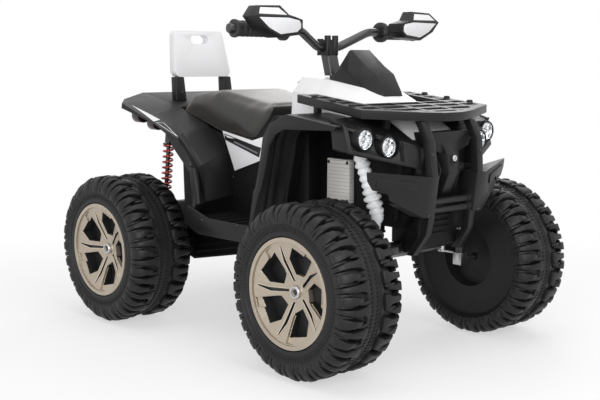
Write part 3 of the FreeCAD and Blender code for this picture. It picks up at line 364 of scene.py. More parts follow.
def seat_cover(shade):
    """Soft faux leather with small pores."""
    finish = Finish(
        "seat_cover", shade, 0.44, Coat_Weight=0.05, Sheen_Weight=0.3, Sheen_Roughness=0.45,
        Sheen_Tint=(0.80, 0.74, 0.68, 1),
    )
    spots = {"Vector": finish.place(), "Scale": 620.0}
    pores = finish.node("ShaderNodeTexVoronoi", {"feature": "F1"}, spots)
    drift = finish.noise(7.0, 4.0)
    finish.feed("Base Color", finish.mix(drift, shaded(shade, 0.82), shaded(shade, 1.2)))
    finish.feed("Roughness", drift * 0.16 + 0.30)
    finish.bump(pores, 0.00016, 0.5)
    return finish.material


FINISH = {}


# Work on meshes as by hand
def clear_choice():
    if bpy.context.mode != "OBJECT":
        bpy.ops.object.mode_set(mode="OBJECT")
    bpy.ops.object.select_all(action="DESELECT")


def choose(*pieces):
    clear_choice()
    for piece in pieces:
        piece.select_set(True)
    bpy.context.view_layer.objects.active = pieces[0]
    return pieces[0]


def edit(piece):
    choose(piece)
    bpy.ops.object.mode_set(mode="EDIT")
    bpy.ops.mesh.select_all(action="SELECT")


def leave_edit():
    bpy.ops.object.mode_set(mode="OBJECT")
    return bpy.context.active_object


def settle(piece):
    """Put the piece's place into its mesh."""
    choose(piece)
    bpy.ops.object.transform_apply(location=True, rotation=True, scale=True)
    return piece


def modify(piece, kind, **settings):
    choose(piece)
    modifier = piece.modifiers.new(kind.title(), kind)
    for key, value in settings.items():
        setattr(modifier, key, value)
    bpy.ops.object.modifier_apply(modifier=modifier.name)
    return piece


def paint(piece, *names):
    piece.data.materials.clear()
    for name in names:
        piece.data.materials.append(FINISH[name])
    return piece


def smooth(piece, degrees=SMOOTH_DEGREES):
    choose(piece)
    bpy.ops.object.shade_smooth_by_angle(angle=math.radians(degrees))
    return piece


def joined(name, pieces):
    piece = choose(*pieces)
    if len(pieces) > 1:
        bpy.ops.object.join()
    piece.name = name
    piece.data.name = name
    return piece


def copied(piece, name):
    choose(piece)
    bpy.ops.object.duplicate(linked=False)
    twin = bpy.context.active_object
    twin.name = name
    twin.data.name = name
    return twin


def place_on(piece, body, slot, *nodes):
    settle(piece)
    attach(piece, body)
    if nodes:
        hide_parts(*nodes)
    return piece


def node_copy(node, name):
    """A free copy of a node's mesh, with its loose triangles merged."""
    twin = copied(frame["nodes"][node], name)
    twin.parent = None
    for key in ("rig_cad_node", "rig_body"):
        if key in twin:
            del twin[key]
    edit(twin)
    bpy.ops.mesh.remove_doubles(threshold=PATCH)
    bpy.ops.mesh.dissolve_limited(angle_limit=FLAT)
    return leave_edit()


def body_name(node):
    return frame["nodes"][node]["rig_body"]


def slot_name(node):
    for row in frame["record"]["subparts"]:
        if row["node"] == node:
            return row["material_slot"]
    raise ValueError("no such node: " + node)


def finished(node, name, finish, edge=None, rounds=2, edge_finish=None, cuts=()):
    """A node's own form with rounded edges in its finish."""
    piece = node_copy(node, name)
    for outline, low, high in cuts:
        carved(piece, outline, low, high)
    paint(piece, finish, *([edge_finish] if edge_finish else []))
    rounded(piece, trim().edge if edge is None else edge, rounds, edge_finish)
    return place_on(piece, body_name(node), slot_name(node), node)


def draw_in(piece, beyond, way):
    """Move both outer ends of a piece towards the quad bike's middle."""
    for side in (1, -1):
        edit(piece)
        bpy.ops.mesh.select_all(action="DESELECT")
        leave_edit()
        for vertex in piece.data.vertices:
            vertex.select = side * vertex.co.y > beyond
        bpy.ops.object.mode_set(mode="EDIT")
        bpy.ops.transform.translate(value=(0, -side * way, 0))
        leave_edit()
    return piece


def mirrored(piece):
    """Turn a piece into its twin on the other side of the quad bike."""
    edit(piece)
    bpy.ops.transform.resize(value=(1, -1, 1), center_override=ORIGIN)
    bpy.ops.mesh.flip_normals()
    return leave_edit()


def both_sides(name, pieces):
    """The pieces of the right side and their twins on the left, as one piece."""
    right = joined(name, pieces)
    left = mirrored(copied(right, name + "_twin"))
    return joined(name, [right, left])


def lathe(name, profile, sides):
    """A wheel-like body about the Y axis. The profile is a list of (radius, y)."""
    clear_choice()
    radius, y = profile[0]
    bpy.ops.mesh.primitive_circle_add(
        vertices=sides, radius=radius, location=(0, y, 0), rotation=(math.pi / 2, 0, 0)
    )
    piece = settle(bpy.context.active_object)
    piece.name = name
    edit(piece)
    for (radius, y), (next_radius, next_y) in zip(profile, profile[1:]):
        bpy.ops.mesh.extrude_region_move(TRANSFORM_OT_translate={"value": (0, next_y - y, 0)})
        share = next_radius / radius
        bpy.ops.transform.resize(value=(share, 1, share), center_override=ORIGIN)
    bpy.ops.mesh.select_all(action="SELECT")
    bpy.ops.mesh.remove_doubles(threshold=PATCH)
    bpy.ops.mesh.normals_make_consistent(inside=False)
    return leave_edit()


def drawn_bar(name, stations):
    """A bar drawn along Y. A station is its centre and its width and height there."""
    clear_choice()
    centre, width, height = stations[0]
    bpy.ops.mesh.primitive_plane_add(size=1, location=centre, rotation=(math.pi / 2, 0, 0))
    piece = bpy.context.active_object
    piece.name = name
    piece.scale = (width, height, 1)
    settle(piece)
    edit(piece)
    for (centre, width, height), (onward, next_width, next_height) in zip(stations, stations[1:]):
        step = Vector(onward) - Vector(centre)
        bpy.ops.mesh.extrude_region_move(TRANSFORM_OT_translate={"value": step})
        bpy.ops.transform.resize(
            value=(next_width / width, 1, next_height / height), center_override=Vector(onward)
        )
    bpy.ops.mesh.select_all(action="SELECT")
    bpy.ops.mesh.normals_make_consistent(inside=False)
    return leave_edit()


def ring_of(piece, count):
    """Copies of the piece all round a wheel's axis."""
    edit(piece)
    turn = 2 * math.pi * (count - 1) / count
    bpy.ops.mesh.spin(steps=count - 1, dupli=True, angle=turn, center=ORIGIN, axis=(0, 1, 0))
    return leave_edit()


def rod(name, start, end, radius, sides=24):
    start = Vector(start)
    end = Vector(end)
    way = end - start
    clear_choice()
    bpy.ops.mesh.primitive_cylinder_add(
        vertices=sides, radius=radius, depth=way.length, location=(start + end) / 2,
        rotation=way.to_track_quat("Z", "Y").to_euler(),
    )
    piece = settle(bpy.context.active_object)
    piece.name = name
    return piece


def sheet(name, corners):
    """A flat face whose corners stand at the given places, in millimetres."""
    clear_choice()
    bpy.ops.mesh.primitive_circle_add(vertices=len(corners), radius=1, fill_type="NGON", calc_uvs=False)
    piece = bpy.context.active_object
    piece.name = name
    for vertex, corner in zip(piece.data.vertices, corners):
        vertex.co = Vector(corner) * MM
    return piece


def side_block(name, outline, low, high):
    """A block between two planes of constant Y. The outline is a list of (x, z), in millimetres."""
    piece = sheet(name, [(x, low, z) for x, z in outline])
    edit(piece)
    bpy.ops.mesh.extrude_region_move(TRANSFORM_OT_translate={"value": (0, (high - low) * MM, 0)})
    bpy.ops.mesh.select_all(action="SELECT")
    bpy.ops.mesh.normals_make_consistent(inside=False)
    return leave_edit()


def carved(piece, outline, low, high):
    """Take a block between two planes of constant Y out of the piece."""
    cutter = side_block("cutter", outline, low, high)
    modify(piece, "BOOLEAN", object=cutter, operation="DIFFERENCE", solver="EXACT")
    bpy.data.objects.remove(cutter)
    return piece


def rounded(piece, width, rounds=2, edge_finish=None):
    """Round the piece's edges, with the edge finish on the rounding."""
    modify(
        piece, "BEVEL", width=width, segments=rounds, limit_method="ANGLE", angle_limit=CREASE,
        material=1 if edge_finish else -1, use_clamp_overlap=True,
    )
    return smooth(piece)


def film(name, outline, carrier, finish, border=None):
    """A thin film laid on the carrier's surface, right side. A border leaves only a frame of it."""
    piece = sheet(name, outline)
    edit(piece)
    if border:
        bpy.ops.mesh.inset(thickness=border * MM, depth=0)
        bpy.ops.mesh.delete(type="FACE")
        bpy.ops.mesh.select_all(action="SELECT")
    bpy.ops.mesh.quads_convert_to_tris()
    bpy.ops.mesh.subdivide(number_cuts=FILM_CUTS)
    leave_edit()
    modify(
        piece, "SHRINKWRAP", target=carrier, wrap_method="NEAREST_SURFACEPOINT",
        wrap_mode="ABOVE_SURFACE", offset=FILM_LIFT,
    )
    if piece.data.polygons[0].normal.y > 0:
        edit(piece)
        bpy.ops.mesh.flip_normals()
        leave_edit()
    modify(piece, "SOLIDIFY", thickness=FILM_WALL, offset=0)
    return paint(piece, finish)


def aimed(piece, start, end):
    """Stand a piece made along +Y from the origin on the start, pointing at the end."""
    way = (Vector(end) - Vector(start)).normalized()
    turn = Vector((0, 1, 0)).rotation_difference(way).to_matrix().to_4x4()
    piece.matrix_world = Matrix.Translation(Vector(start)) @ turn
    return settle(piece)


BOLT_SHARES = [(0.05, 0.10), (0.42, 0.10), (0.46, 0.62), (0.80, 0.50), (1.00, 0.15), (1.00, -0.20)]


def bolt_on(carrier, near):
    """A domed bolt head with a socket, on the carrier's surface next to a place."""
    _, place, normal, _ = carrier.closest_point_on_mesh(Vector(near))
    size = trim().bolt
    head = lathe("bolt_head", [(radius * size, y * size) for radius, y in BOLT_SHARES], 24)
    return paint(smooth(aimed(head, place, place + normal), 40), "black_steel")


# Wheels
def wheel_centre(corner):
    low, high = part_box("tyre_" + corner)
    return (low + high) / 2


# Profiles are (radius, y), and blocks are (y, width, inner radius, outer radius), in millimetres
TYRE_PROFILE = [
    (8.2, 40.0), (60.0, 40.0), (64.0, 64.0), (122.0, 64.0), (128.5, 67.0), (131.0, 72.0), (135.0, 75.0),
    (141.0, 69.0), (148.0, 61.0), (153.0, 52.0), (155.5, 40.0), (157.0, 23.0), (162.0, 20.5), (162.5, 14.5),
    (160.5, 13.5), (160.5, -13.5), (162.5, -14.5), (162.0, -20.5), (157.0, -23.0), (155.5, -40.0),
    (153.0, -52.0), (148.0, -61.0), (141.0, -69.0), (136.5, -75.4), (133.0, -75.8), (131.5, -74.4),
    (129.5, -75.0), (121.0, -75.2), (119.5, -73.6), (117.0, -74.6), (109.5, -73.8), (108.6, -70.0),
    (108.6, -38.1), (8.2, -38.1),
]

TREAD_BLOCK = [
    (20.0, 24.0, 155.0, 168.5), (29.0, 24.0, 154.0, 170.0), (35.0, 15.0, 153.0, 170.0),
    (56.0, 11.5, 150.0, 168.8), (66.0, 11.0, 142.0, 163.5), (74.0, 9.0, 136.0, 153.5),
    (76.0, 8.0, 133.0, 145.0),
]

SHOULDER_BLOCK = [
    (31.0, 3.5, 154.0, 163.0), (42.0, 8.0, 153.0, 169.0), (58.0, 14.5, 150.0, 169.5),
    (67.0, 17.0, 142.0, 164.0), (74.5, 17.0, 136.0, 154.0), (76.2, 15.0, 133.0, 145.0),
]

HOOK_BLOCK = [(23.5, 7.0, 154.0, 166.0), (34.0, 7.5, 154.0, 168.0), (48.0, 6.0, 151.0, 166.5)]

SIDE_BLOCK = [
    (58.0, 5.0, 149.0, 161.0), (66.0, 6.0, 141.0, 157.0), (74.5, 6.0, 134.0, 149.5),
    (76.0, 5.0, 131.5, 143.0),
]

SHOULDER_MARK = [(74.2, 17.5, 136.5, 151.0), (77.2, 14.5, 139.0, 148.5)]
KNURL = [(-1.5, 4.4, 159.6, 162.0), (1.5, 4.4, 159.6, 162.0)]
KNURL_ROWS = (-9.0, -5.4, 5.4, 9.0)
SIDE_RIB = [(76.2, 1.5, 121.2, 129.2), (74.0, 2.4, 120.8, 129.6)]
LUG_EDGE = 1.6
LUG_CREASE = math.radians(50)

# Rings of blocks are turned by shares of the lugs' pitch
LUG_RINGS = [
    (TREAD_BLOCK, 0.0), (HOOK_BLOCK, 0.36), (SIDE_BLOCK, 0.24), (SIDE_BLOCK, 0.76), (SHOULDER_BLOCK, 0.5),
    (SHOULDER_MARK, 0.5),
]
LUG_SHIFTS = {1: 0.0, -1: 0.25}


def block_of(name, rows, side):
    """A bar through the rows of a block, on one side of the tyre."""
    return drawn_bar(name, [
        ((0, side * y * MM, (low + high) / 2 * MM), width * MM, (high - low) * MM)
        for y, width, low, high in rows
    ])


def ring_of_lugs(rows, side, turn, count):
    """Rounded blocks all round one side of the tyre."""
    block = block_of("block", rows, side)
    modify(block, "BEVEL", width=LUG_EDGE * MM, segments=2, limit_method="ANGLE", angle_limit=LUG_CREASE)
    block.matrix_world = Matrix.Rotation(turn, 4, "Y")
    return ring_of(settle(block), count)


def make_tyre():
    """One tyre about the origin, its outer face towards -Y."""
    count = bpy.context.scene.quad_tyre.lugs
    knurls = bpy.context.scene.quad_tyre.knurls
    pitch = 2 * math.pi / count
    profile = [(radius * MM, y * MM) for radius, y in TYRE_PROFILE]
    rings = [lathe("carcass", profile + profile[:1], 4 * count)]
    for side, shift in LUG_SHIFTS.items():
        for rows, offset in LUG_RINGS:
            rings.append(ring_of_lugs(rows, side, (shift + side * offset) * pitch, count))
    for row in KNURL_ROWS:
        rows = [(row + y, width, low, high) for y, width, low, high in KNURL]
        rings.append(ring_of(block_of("knurl", rows, 1), knurls))
    rings.append(ring_of(block_of("rib", SIDE_RIB, -1), knurls))
    return smooth(paint(joined("tyre_model", rings), "tyre"), 40)


class QUAD_OT_tyres(bpy.types.Operator):
    """Build the four lugged tyres"""

    bl_idname = "quad.tyres"
    bl_label = "Tyres"

    def execute(self, context):
        model = make_tyre()
        for corner in CORNERS:
            tyre = copied(model, "lugged_tyre_" + corner)
            turn = math.pi if "left" in corner else 0
            tyre.matrix_world = Matrix.Translation(wheel_centre(corner)) @ Matrix.Rotation(turn, 4, "Z")
            place_on(tyre, "wheel_" + corner, "tyre", "tyre_" + corner)
        bpy.data.objects.remove(model)
        return {"FINISHED"}


# Rims, with sizes in millimetres and places along the spokes as shares of the reach
RIM_SPOKES = 5
RIM_REACH = 107.0
HUB_RADIUS = 27.0
HUB_FACE = 47.0
FACE_SLOPE = 21.0 / 72.0
PAINTED_FROM, PAINTED_TO = 19.0, 99.0
GROOVE_HALF, GROOVE_END, GROOVE_SINK = 7.0, 95.0, 1.2
WINDOW_SINK, WALL_SINK, WALL_SLOPE = 6.0, 3.0, 0.3
GROOVE_EDGES = [
    [(0.20, 0.034), (0.58, 0.059), (0.84, -0.011)],
    [(0.20, -0.034), (0.60, -0.024), (0.86, -0.054)],
]
BEAD_RADIUS = 0.0012
HUB_RING = [
    (0.0125, -0.0475), (0.0125, -0.0525), (0.0115, -0.0537), (0.0085, -0.0537), (0.0078, -0.0520),
    (0.0078, -0.0475),
]
HUB_BOLT = [(0.0002, -0.0475), (0.0002, -0.0510), (0.0058, -0.0510), (0.0066, -0.0503), (0.0070, -0.0475)]


def rim_face(radius):
    """How far out the rim's face stands at a radius."""
    return HUB_FACE + (radius - HUB_RADIUS) * FACE_SLOPE


def groove_faces(rim, centre, side):
    """Give the faces down in the spokes' grooves and in the windows the groove's finish."""
    step = 2 * math.pi / RIM_SPOKES
    for face in rim.data.polygons:
        place = (rim.matrix_world @ face.center - centre) / MM
        radius = math.hypot(place.x, place.z)
        turn = (math.atan2(-place.z, -place.x) + step / 2) % step - step / 2
        sunk = rim_face(radius) - side * place.y
        across = abs(radius * math.sin(turn))
        in_groove = across < GROOVE_HALF and radius < GROOVE_END and sunk > GROOVE_SINK
        in_window = sunk > WINDOW_SINK or (sunk > WALL_SINK and abs(face.normal.y) < WALL_SLOPE)
        if PAINTED_FROM < radius < PAINTED_TO and (in_groove or in_window):
            face.material_index = 2


def groove_beads():
    """The beads along the spokes' grooves, in the lighter bronze of a painted highlight, for a rim whose
    face is towards -Y.
    """
    beads = []
    for line in GROOVE_EDGES:
        places = []
        for along, across in line:
            radius = math.hypot(along, across) * RIM_REACH
            places.append(Vector((-along * RIM_REACH, -rim_face(radius), -across * RIM_REACH)) * MM)
        beads += [rod("bead", start, end, BEAD_RADIUS, 10) for start, end in zip(places, places[1:])]
    return paint(ring_of(joined("beads", beads), RIM_SPOKES), "edge_highlight")


def hub_cap(corner, centre, side):
    """The plated ring and dark bolt in a rim's hub, with the painted-highlight beads of its spokes."""
    ring = paint(lathe("hub_ring", HUB_RING, 48), "steel")
    bolt = paint(lathe("hub_bolt", HUB_BOLT, 6), "groove")
    cap = joined("hub_cap_" + corner, [ring, bolt, groove_beads()])
    if side > 0:
        mirrored(cap)
    cap.location = centre
    smooth(cap, 30)
    return place_on(cap, "wheel_" + corner, "rim")


class QUAD_OT_rims(bpy.types.Operator):
    """Finish the four rims with painted highlights on their rounded edges, black grooves and plated hubs"""

    bl_idname = "quad.rims"
    bl_label = "Rims"

    def execute(self, context):
        for corner in CORNERS:
            centre = wheel_centre(corner)
            side = 1 if "left" in corner else -1
            fine = trim().fine_edge
            # The rims' rounded edges take the lighter bronze as a painted highlight
            rim = finished("rim_" + corner, "wheel_rim_" + corner, "bronze", fine, edge_finish="edge_highlight")
            rim.data.materials.append(FINISH["groove"])
            groove_faces(rim, centre, side)
            hub_cap(corner, centre, side)
        return {"FINISHED"}


# Struts and shocks, right side
STRUT_TOP = (0.3180, -0.147, 0.434)
STRUT_BEND = (0.3400, -0.111, 0.300)
STRUT_FOOT = (0.3260, -0.111, 0.2125)
STRUT_RIBS = (16.0, 14.5, 16.0, 14.5, 15.0, 14.5, 17.0, 18.5, 17.0, 15.5)
STRUT_NECK, STRUT_END, STRUT_TUBE, RIB_ROUND = 0.0118, 0.0115, 0.0092, 0.0009
RIB_SHARES = (0.10, 0.30, 0.44, 0.58, 0.72, 0.92)
STRUT_CAP = [
    (0.0002, -0.004), (0.0115, -0.004), (0.0125, -0.002), (0.0125, 0.010), (0.0110, 0.014), (0.0002, 0.014),
]
SHOCK_TOP = (-0.301, -0.146, 0.487)
SHOCK_MIDDLE = (-0.308, -0.149, 0.410)
SHOCK_FOOT = (-0.322, -0.156, 0.2125)
SHOCK_SLEEVE, SHOCK_CORE = 0.0095, 0.0050
SPRING_SEAT = [(0.0002, -0.0025), (0.0125, -0.0025), (0.0140, 0.0), (0.0125, 0.0025), (0.0002, 0.0025)]
SPRING_START, SPRING_END = 0.02, 0.62
COIL_RADIUS, COIL_WIRE, COIL_TURNS, COIL_STEPS = 0.0112, 0.0026, 9, 22


def bellows_strut():
    """A white strut with its bellows."""
    reach = (Vector(STRUT_BEND) - Vector(STRUT_TOP)).length
    pitch = reach / len(STRUT_RIBS)
    profile = [(0.0002, 0.0), (0.011, 0.0)]
    for number, size in enumerate(STRUT_RIBS):
        radius = size * MM
        radii = (STRUT_NECK, radius - RIB_ROUND, radius, radius, radius - RIB_ROUND, STRUT_NECK)
        profile += [(part, (number + share) * pitch) for part, share in zip(radii, RIB_SHARES)]
    profile += [(STRUT_END, reach), (0.0002, reach)]
    sleeve = smooth(aimed(lathe("sleeve", profile, 40), STRUT_TOP, STRUT_BEND), 60)
    tube = smooth(rod("tube", STRUT_BEND, STRUT_FOOT, STRUT_TUBE, 32), 30)
    cap = smooth(aimed(lathe("cap", STRUT_CAP, 32), STRUT_BEND, STRUT_FOOT), 30)
    return [paint(piece, "bellows") for piece in (sleeve, tube, cap)]


def spring_shock():
    """A shock with its coil spring."""
    start = Vector(SHOCK_MIDDLE)
    end = Vector(SHOCK_FOOT)
    reach = (SPRING_END - SPRING_START) * (end - start).length
    pieces = [
        smooth(rod("sleeve", SHOCK_TOP, SHOCK_MIDDLE, SHOCK_SLEEVE, 28), 30),
        smooth(rod("core", SHOCK_MIDDLE, SHOCK_FOOT, SHOCK_CORE, 20), 30),
    ]
    for share in (SPRING_START, SPRING_END):
        pieces.append(smooth(aimed(lathe("seat", SPRING_SEAT, 32), start.lerp(end, share), end), 30))
    for piece in pieces:
        paint(piece, "black_steel")
    clear_choice()
    bpy.ops.mesh.primitive_circle_add(vertices=10, radius=COIL_WIRE, location=(COIL_RADIUS, 0, 0))
    coil = settle(bpy.context.active_object)
    modify(
        coil, "SCREW", axis="Y", angle=2 * math.pi, screw_offset=reach / COIL_TURNS, iterations=COIL_TURNS,
        steps=COIL_STEPS, render_steps=COIL_STEPS, use_merge_vertices=True,
    )
    edit(coil)
    bpy.ops.mesh.edge_face_add()
    bpy.ops.mesh.select_all(action="SELECT")
    bpy.ops.mesh.normals_make_consistent(inside=False)
    leave_edit()
    pieces.append(paint(smooth(aimed(coil, start.lerp(end, SPRING_START), end), 60), "spring"))
    return pieces


class QUAD_OT_running_gear(bpy.types.Operator):
    """Finish the axle, gearboxes, beam, knuckles and tie rod"""

    bl_idname = "quad.running_gear"
    bl_label = "Running gear"

    def execute(self, context):
        fine = trim().fine_edge
        finished("rear_axle", "axle_rod", "steel", fine)
        # The gearboxes take the body black darkened as painted shade
        finished("rear_gearboxes", "motor_gearboxes", "inner", fine)
        finished("front_beam", "steering_beam", "black_steel", fine)
        finished("knuckle_left", "stub_knuckle_left", "steel", fine)
        finished("knuckle_right", "stub_knuckle_right", "steel", fine)
        finished("tie_rod", "steering_link", "steel", fine)
        place_on(both_sides("bellows_struts", bellows_strut()), "chassis", "white_rubber", "front_struts")
        place_on(both_sides("spring_shocks", spring_shock()), "chassis", "spring", "rear_shocks")
        return {"FINISHED"}


class QUAD_OT_steering(bpy.types.Operator):
    """Finish the column, handlebar, clamp, grips and handguards"""

    bl_idname = "quad.steering"
    bl_label = "Steering"

    def execute(self, context):
        fine = trim().fine_edge
        finished("steering_column", "column", "black_steel", fine)
        finished("handlebar", "bar", "black_steel", fine)
        finished("bar_clamp", "bar_clamp_block", "body", fine)
        finished("grips", "grip_sleeves", "grip", fine)
        finished("handguards", "guard_shells", "body", fine)
        finished("guard_panels", "guard_faces", "white", fine)
        return {"FINISHED"}


# Cuts and blocks are an outline in (x, z) and two planes of constant y, in millimetres
TUB_TAIL = [(-440, 476), (-400, 470), (-292, 400), (-287, 267), (-362, 260), (-440, 258)]
TUB_CUTS = [(TUB_TAIL, -140, 140)]
BAY_SIDE = [(140, 200), (410, 200), (410, 273), (140, 273)]
BAY_MIDDLE = [(140, 200), (306, 200), (306, 273), (140, 273)]
BAY_CUTS = [(BAY_SIDE, 30, 100), (BAY_SIDE, -100, -30), (BAY_MIDDLE, -31, 31)]
WING_RIM = [
    (-470, 497), (-440, 499), (-367.6, 492), (-248.9, 462), (-203, 440), (-180, 414), (-215, 380),
    (-470, 380),
]
WING_CUTS = {"left": [(WING_RIM, 100, 260)], "right": [(WING_RIM, -260, -100)]}

# Films are corners in (x, y, z), in millimetres
WEDGE = [
    (-126, -124, 439.1), (-13.9, -124, 416.2), (2, -124, 414.1), (-5.2, -124, 392.1), (-122.9, -124, 424.8),
]
WEDGE_TIP = [(-123.1, -124, 436.7), (-87.7, -124, 429.2), (-113.4, -124, 430.3)]
WEDGE_STRIPE = [(-90.2, -124, 424.1), (-8.9, -124, 402.6), (-10.6, -124, 399.3), (-92, -124, 420.3)]
WING_FLASH = [(-353, -224, 500), (-255, -211, 468), (-252, -231, 464)]
WING_FRAME = [(-247, -229, 463), (-238, -212, 462), (-187, -222, 442), (-165, -226, 431)]
WING_FRAME_WIDTH = 1.3
STRIPE_LIFT = 0.0004

SIDE_PANEL = ([(183, 309), (249, 311), (249, 401), (184, 402.5)], -99, -84)
SIDE_PANEL_EDGE = 0.0016
COWL_EDGE = 0.005


def flank_films(carrier):
    """The dark wedge with its stripe on each white flank."""
    wedge = film("wedge", WEDGE, carrier, "film_black")
    tip = film("tip", WEDGE_TIP, carrier, "film_white")
    stripe = film("stripe", WEDGE_STRIPE, carrier, "film_grey")
    for piece in (tip, stripe):
        piece.location.y = -STRIPE_LIFT
        settle(piece)
    place_on(both_sides("flank_films", [wedge, tip, stripe]), "chassis", "white_plastic")


def wing_films(carrier):
    """The white flash and the outlined field on each rear wing."""
    flash = film("flash", WING_FLASH, carrier, "film_white")
    field = film("field", WING_FRAME, carrier, "film_white", border=WING_FRAME_WIDTH)
    place_on(both_sides("wing_films", [flash, field]), "chassis", "white_plastic")


def lined_panel():
    """The light panel on the front box, right side."""
    return rounded(paint(side_block("panel", *SIDE_PANEL), "silver"), SIDE_PANEL_EDGE)


class QUAD_OT_body(bpy.types.Operator):
    """Finish the tub, fenders, footboards, cowls and side panels"""

    bl_idname = "quad.body"
    bl_label = "Body"

    def execute(self, context):
        edge = trim().edge
        fine = trim().fine_edge
        # The tub and the front box take the body black darkened as painted shade
        finished("tub", "body_tub", "inner", edge, cuts=TUB_CUTS)
        finished("front_bay", "front_box", "inner", edge, cuts=BAY_CUTS)
        finished("battery", "battery_block", "battery", edge)
        for side in ("left", "right"):
            finished("front_fender_" + side, "front_wing_" + side, "body", edge)
            finished("rear_fender_" + side, "rear_wing_" + side, "body", edge, cuts=WING_CUTS[side])
        finished("rear_deck", "tail_deck", "body", edge)
        finished("footboards", "foot_boards", "body", edge)
        flanks = finished("side_inserts", "flank_panels", "white", fine)
        flank_films(flanks)
        wing_films(bpy.data.objects["rear_wing_right"])
        finished("front_cowl", "white_cowl", "white", COWL_EDGE, rounds=3)
        finished("dash_cowl", "dash_hood", "body", edge)
        place_on(both_sides("lined_panels", [lined_panel()]), "chassis", "silver_plastic", "side_panels")
        return {"FINISHED"}


# Lamps are turned about the Y axis as (radius, y), in metres, and then face forward
LAMP_PLACES = [(0.3785, -0.1895, 0.4550), (0.3955, -0.1415, 0.4395)]
LAMP_BEZEL = [
    (0.0222, -0.020), (0.0222, 0.0005), (0.0212, 0.0020), (0.0196, 0.0020), (0.0188, 0.0005),
    (0.0188, -0.018),
]
LAMP_BOWL = [
    (0.0186, -0.0010), (0.0160, -0.0065), (0.0120, -0.0105), (0.0075, -0.0130), (0.0055, -0.0134),
    (0.0004, -0.0134),
]
LAMP_RING = [(0.0092, -0.0090), (0.0086, -0.0050), (0.0072, -0.0042), (0.0060, -0.0050), (0.0056, -0.0100)]
LAMP_BULB = [(0.0056, -0.0130), (0.0054, -0.0080), (0.0036, -0.0055), (0.0003, -0.0045)]
LAMP_LENS = [
    (0.0187, -0.0006), (0.0184, 0.0010), (0.0130, 0.0030), (0.0060, 0.0038), (0.0003, 0.0040),
    (0.0003, 0.0028), (0.0130, 0.0018), (0.0180, -0.0006),
]
LAMP_PARTS = [
    ("bezel", LAMP_BEZEL, 48, "body", 30), ("bowl", LAMP_BOWL, 20, "chrome", 5),
    ("ring", LAMP_RING, 32, "chrome", 30), ("bulb", LAMP_BULB, 20, "film_white", 60),
    ("lens", LAMP_LENS, 32, "lens", 60),
]

# Outlines and the tray's line are in millimetres, and the front's other sizes in metres
POD_END = 0.2225
POD_PULL = 0.0115
WING_TIP = [(350, 430), (408, 430), (405, 392), (409, 362), (420, 352), (420, 330), (350, 330)]
BUMPER_CUTS = [(WING_TIP, 130, 230), (WING_TIP, -230, -130)]
NOSE_WEB = ([(398.5, 376), (401.5, 376), (401.5, 430), (398.5, 430)], -114, -72)
SKID_SIDE = [(340, 205), (381, 205), (381, 288), (340, 288)]
SKID_CUTS = [(SKID_SIDE, 70, 110), (SKID_SIDE, -110, -70)]
RACK_TRAY = [
    (290, 150), (345, 168), (392, 122), (424, 72), (424, -72), (392, -122), (345, -168), (290, -150),
]
TRAY_BACK, TRAY_BACK_HEIGHT, TRAY_SLOPE = 171.2, 530.0, 33.0 / 268.7
TRAY_WALL = 0.002
NOSE_BOSS = [
    (0.0002, 0.0), (0.0002, 0.0022), (0.0028, 0.0022), (0.0032, 0.0036), (0.0056, 0.0036), (0.0064, 0.0028),
    (0.0064, 0.0),
]
NOSE_HEIGHT, NOSE_SEAT = 0.4125, 0.0005


def head_lamp(place):
    """A round lamp that faces forward: bezel, faceted reflector, ring, bulb and clear lens."""
    pieces = []
    for name, profile, sides, finish, degrees in LAMP_PARTS:
        piece = smooth(paint(lathe(name, profile, sides), finish), degrees)
        pieces.append(aimed(piece, place, Vector(place) + FORWARD))
    return pieces


def rack_tray():
    """The thin floor under the rack's bars, with their slope."""
    piece = sheet("rack_floor", [
        (x, y, TRAY_BACK_HEIGHT - (x - TRAY_BACK) * TRAY_SLOPE) for x, y in RACK_TRAY
    ])
    modify(piece, "SOLIDIFY", thickness=TRAY_WALL, offset=0)
    return rounded(paint(piece, "body"), SHEET_EDGE)


def nose_web():
    """The thin web between the grille and the bumper, right side, in the body black darkened as painted
    shade.
    """
    return rounded(paint(side_block("nose_web", *NOSE_WEB), "inner"), SHEET_EDGE)


def nose_bolt():
    """The round boss on the grille's nose."""
    _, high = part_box("grille")
    place = Vector((high.x - NOSE_SEAT, 0, NOSE_HEIGHT))
    boss = paint(lathe("nose_bolt", NOSE_BOSS, 32), "steel")
    return smooth(aimed(boss, place, place + FORWARD), 30)


class QUAD_OT_front(bpy.types.Operator):
    """Finish the lamps, rack, bumper, grille and skid plate"""

    bl_idname = "quad.front"
    bl_label = "Front"

    def execute(self, context):
        edge = trim().edge
        fine = trim().fine_edge
        draw_in(finished("headlamp_pods", "lamp_pods", "body", edge), POD_END, POD_PULL)
        lamps = [part for place in LAMP_PLACES for part in head_lamp(place)]
        place_on(both_sides("head_lamps", lamps), "chassis", "lamp", "headlamps")
        finished("front_rack", "rack", "body", fine)
        place_on(rack_tray(), "chassis", "black_plastic")
        finished("bumper", "bull_bar", "body", edge, cuts=BUMPER_CUTS)
        place_on(nose_bolt(), "chassis", "steel")
        place_on(both_sides("nose_webs", [nose_web()]), "chassis", "black_plastic")
        finished("grille", "grille_face", "body", fine)
        # The skid plate takes the body black darkened as painted shade
        finished("skid_plate", "skid_guard", "inner", edge, cuts=SKID_CUTS)
        finished("tail_lamps", "rear_lamps", "tail", fine)
        return {"FINISHED"}


# Seat, in metres
SEAT_VOXEL = 0.005
SEAT_SWELL = 0.007
SEAT_STEPS = 20
SEAT_PRESSURE = 4
SEAT_FACING = 0.35
SEAT_ROUNDING, SEAT_SETTLING = 14, 16


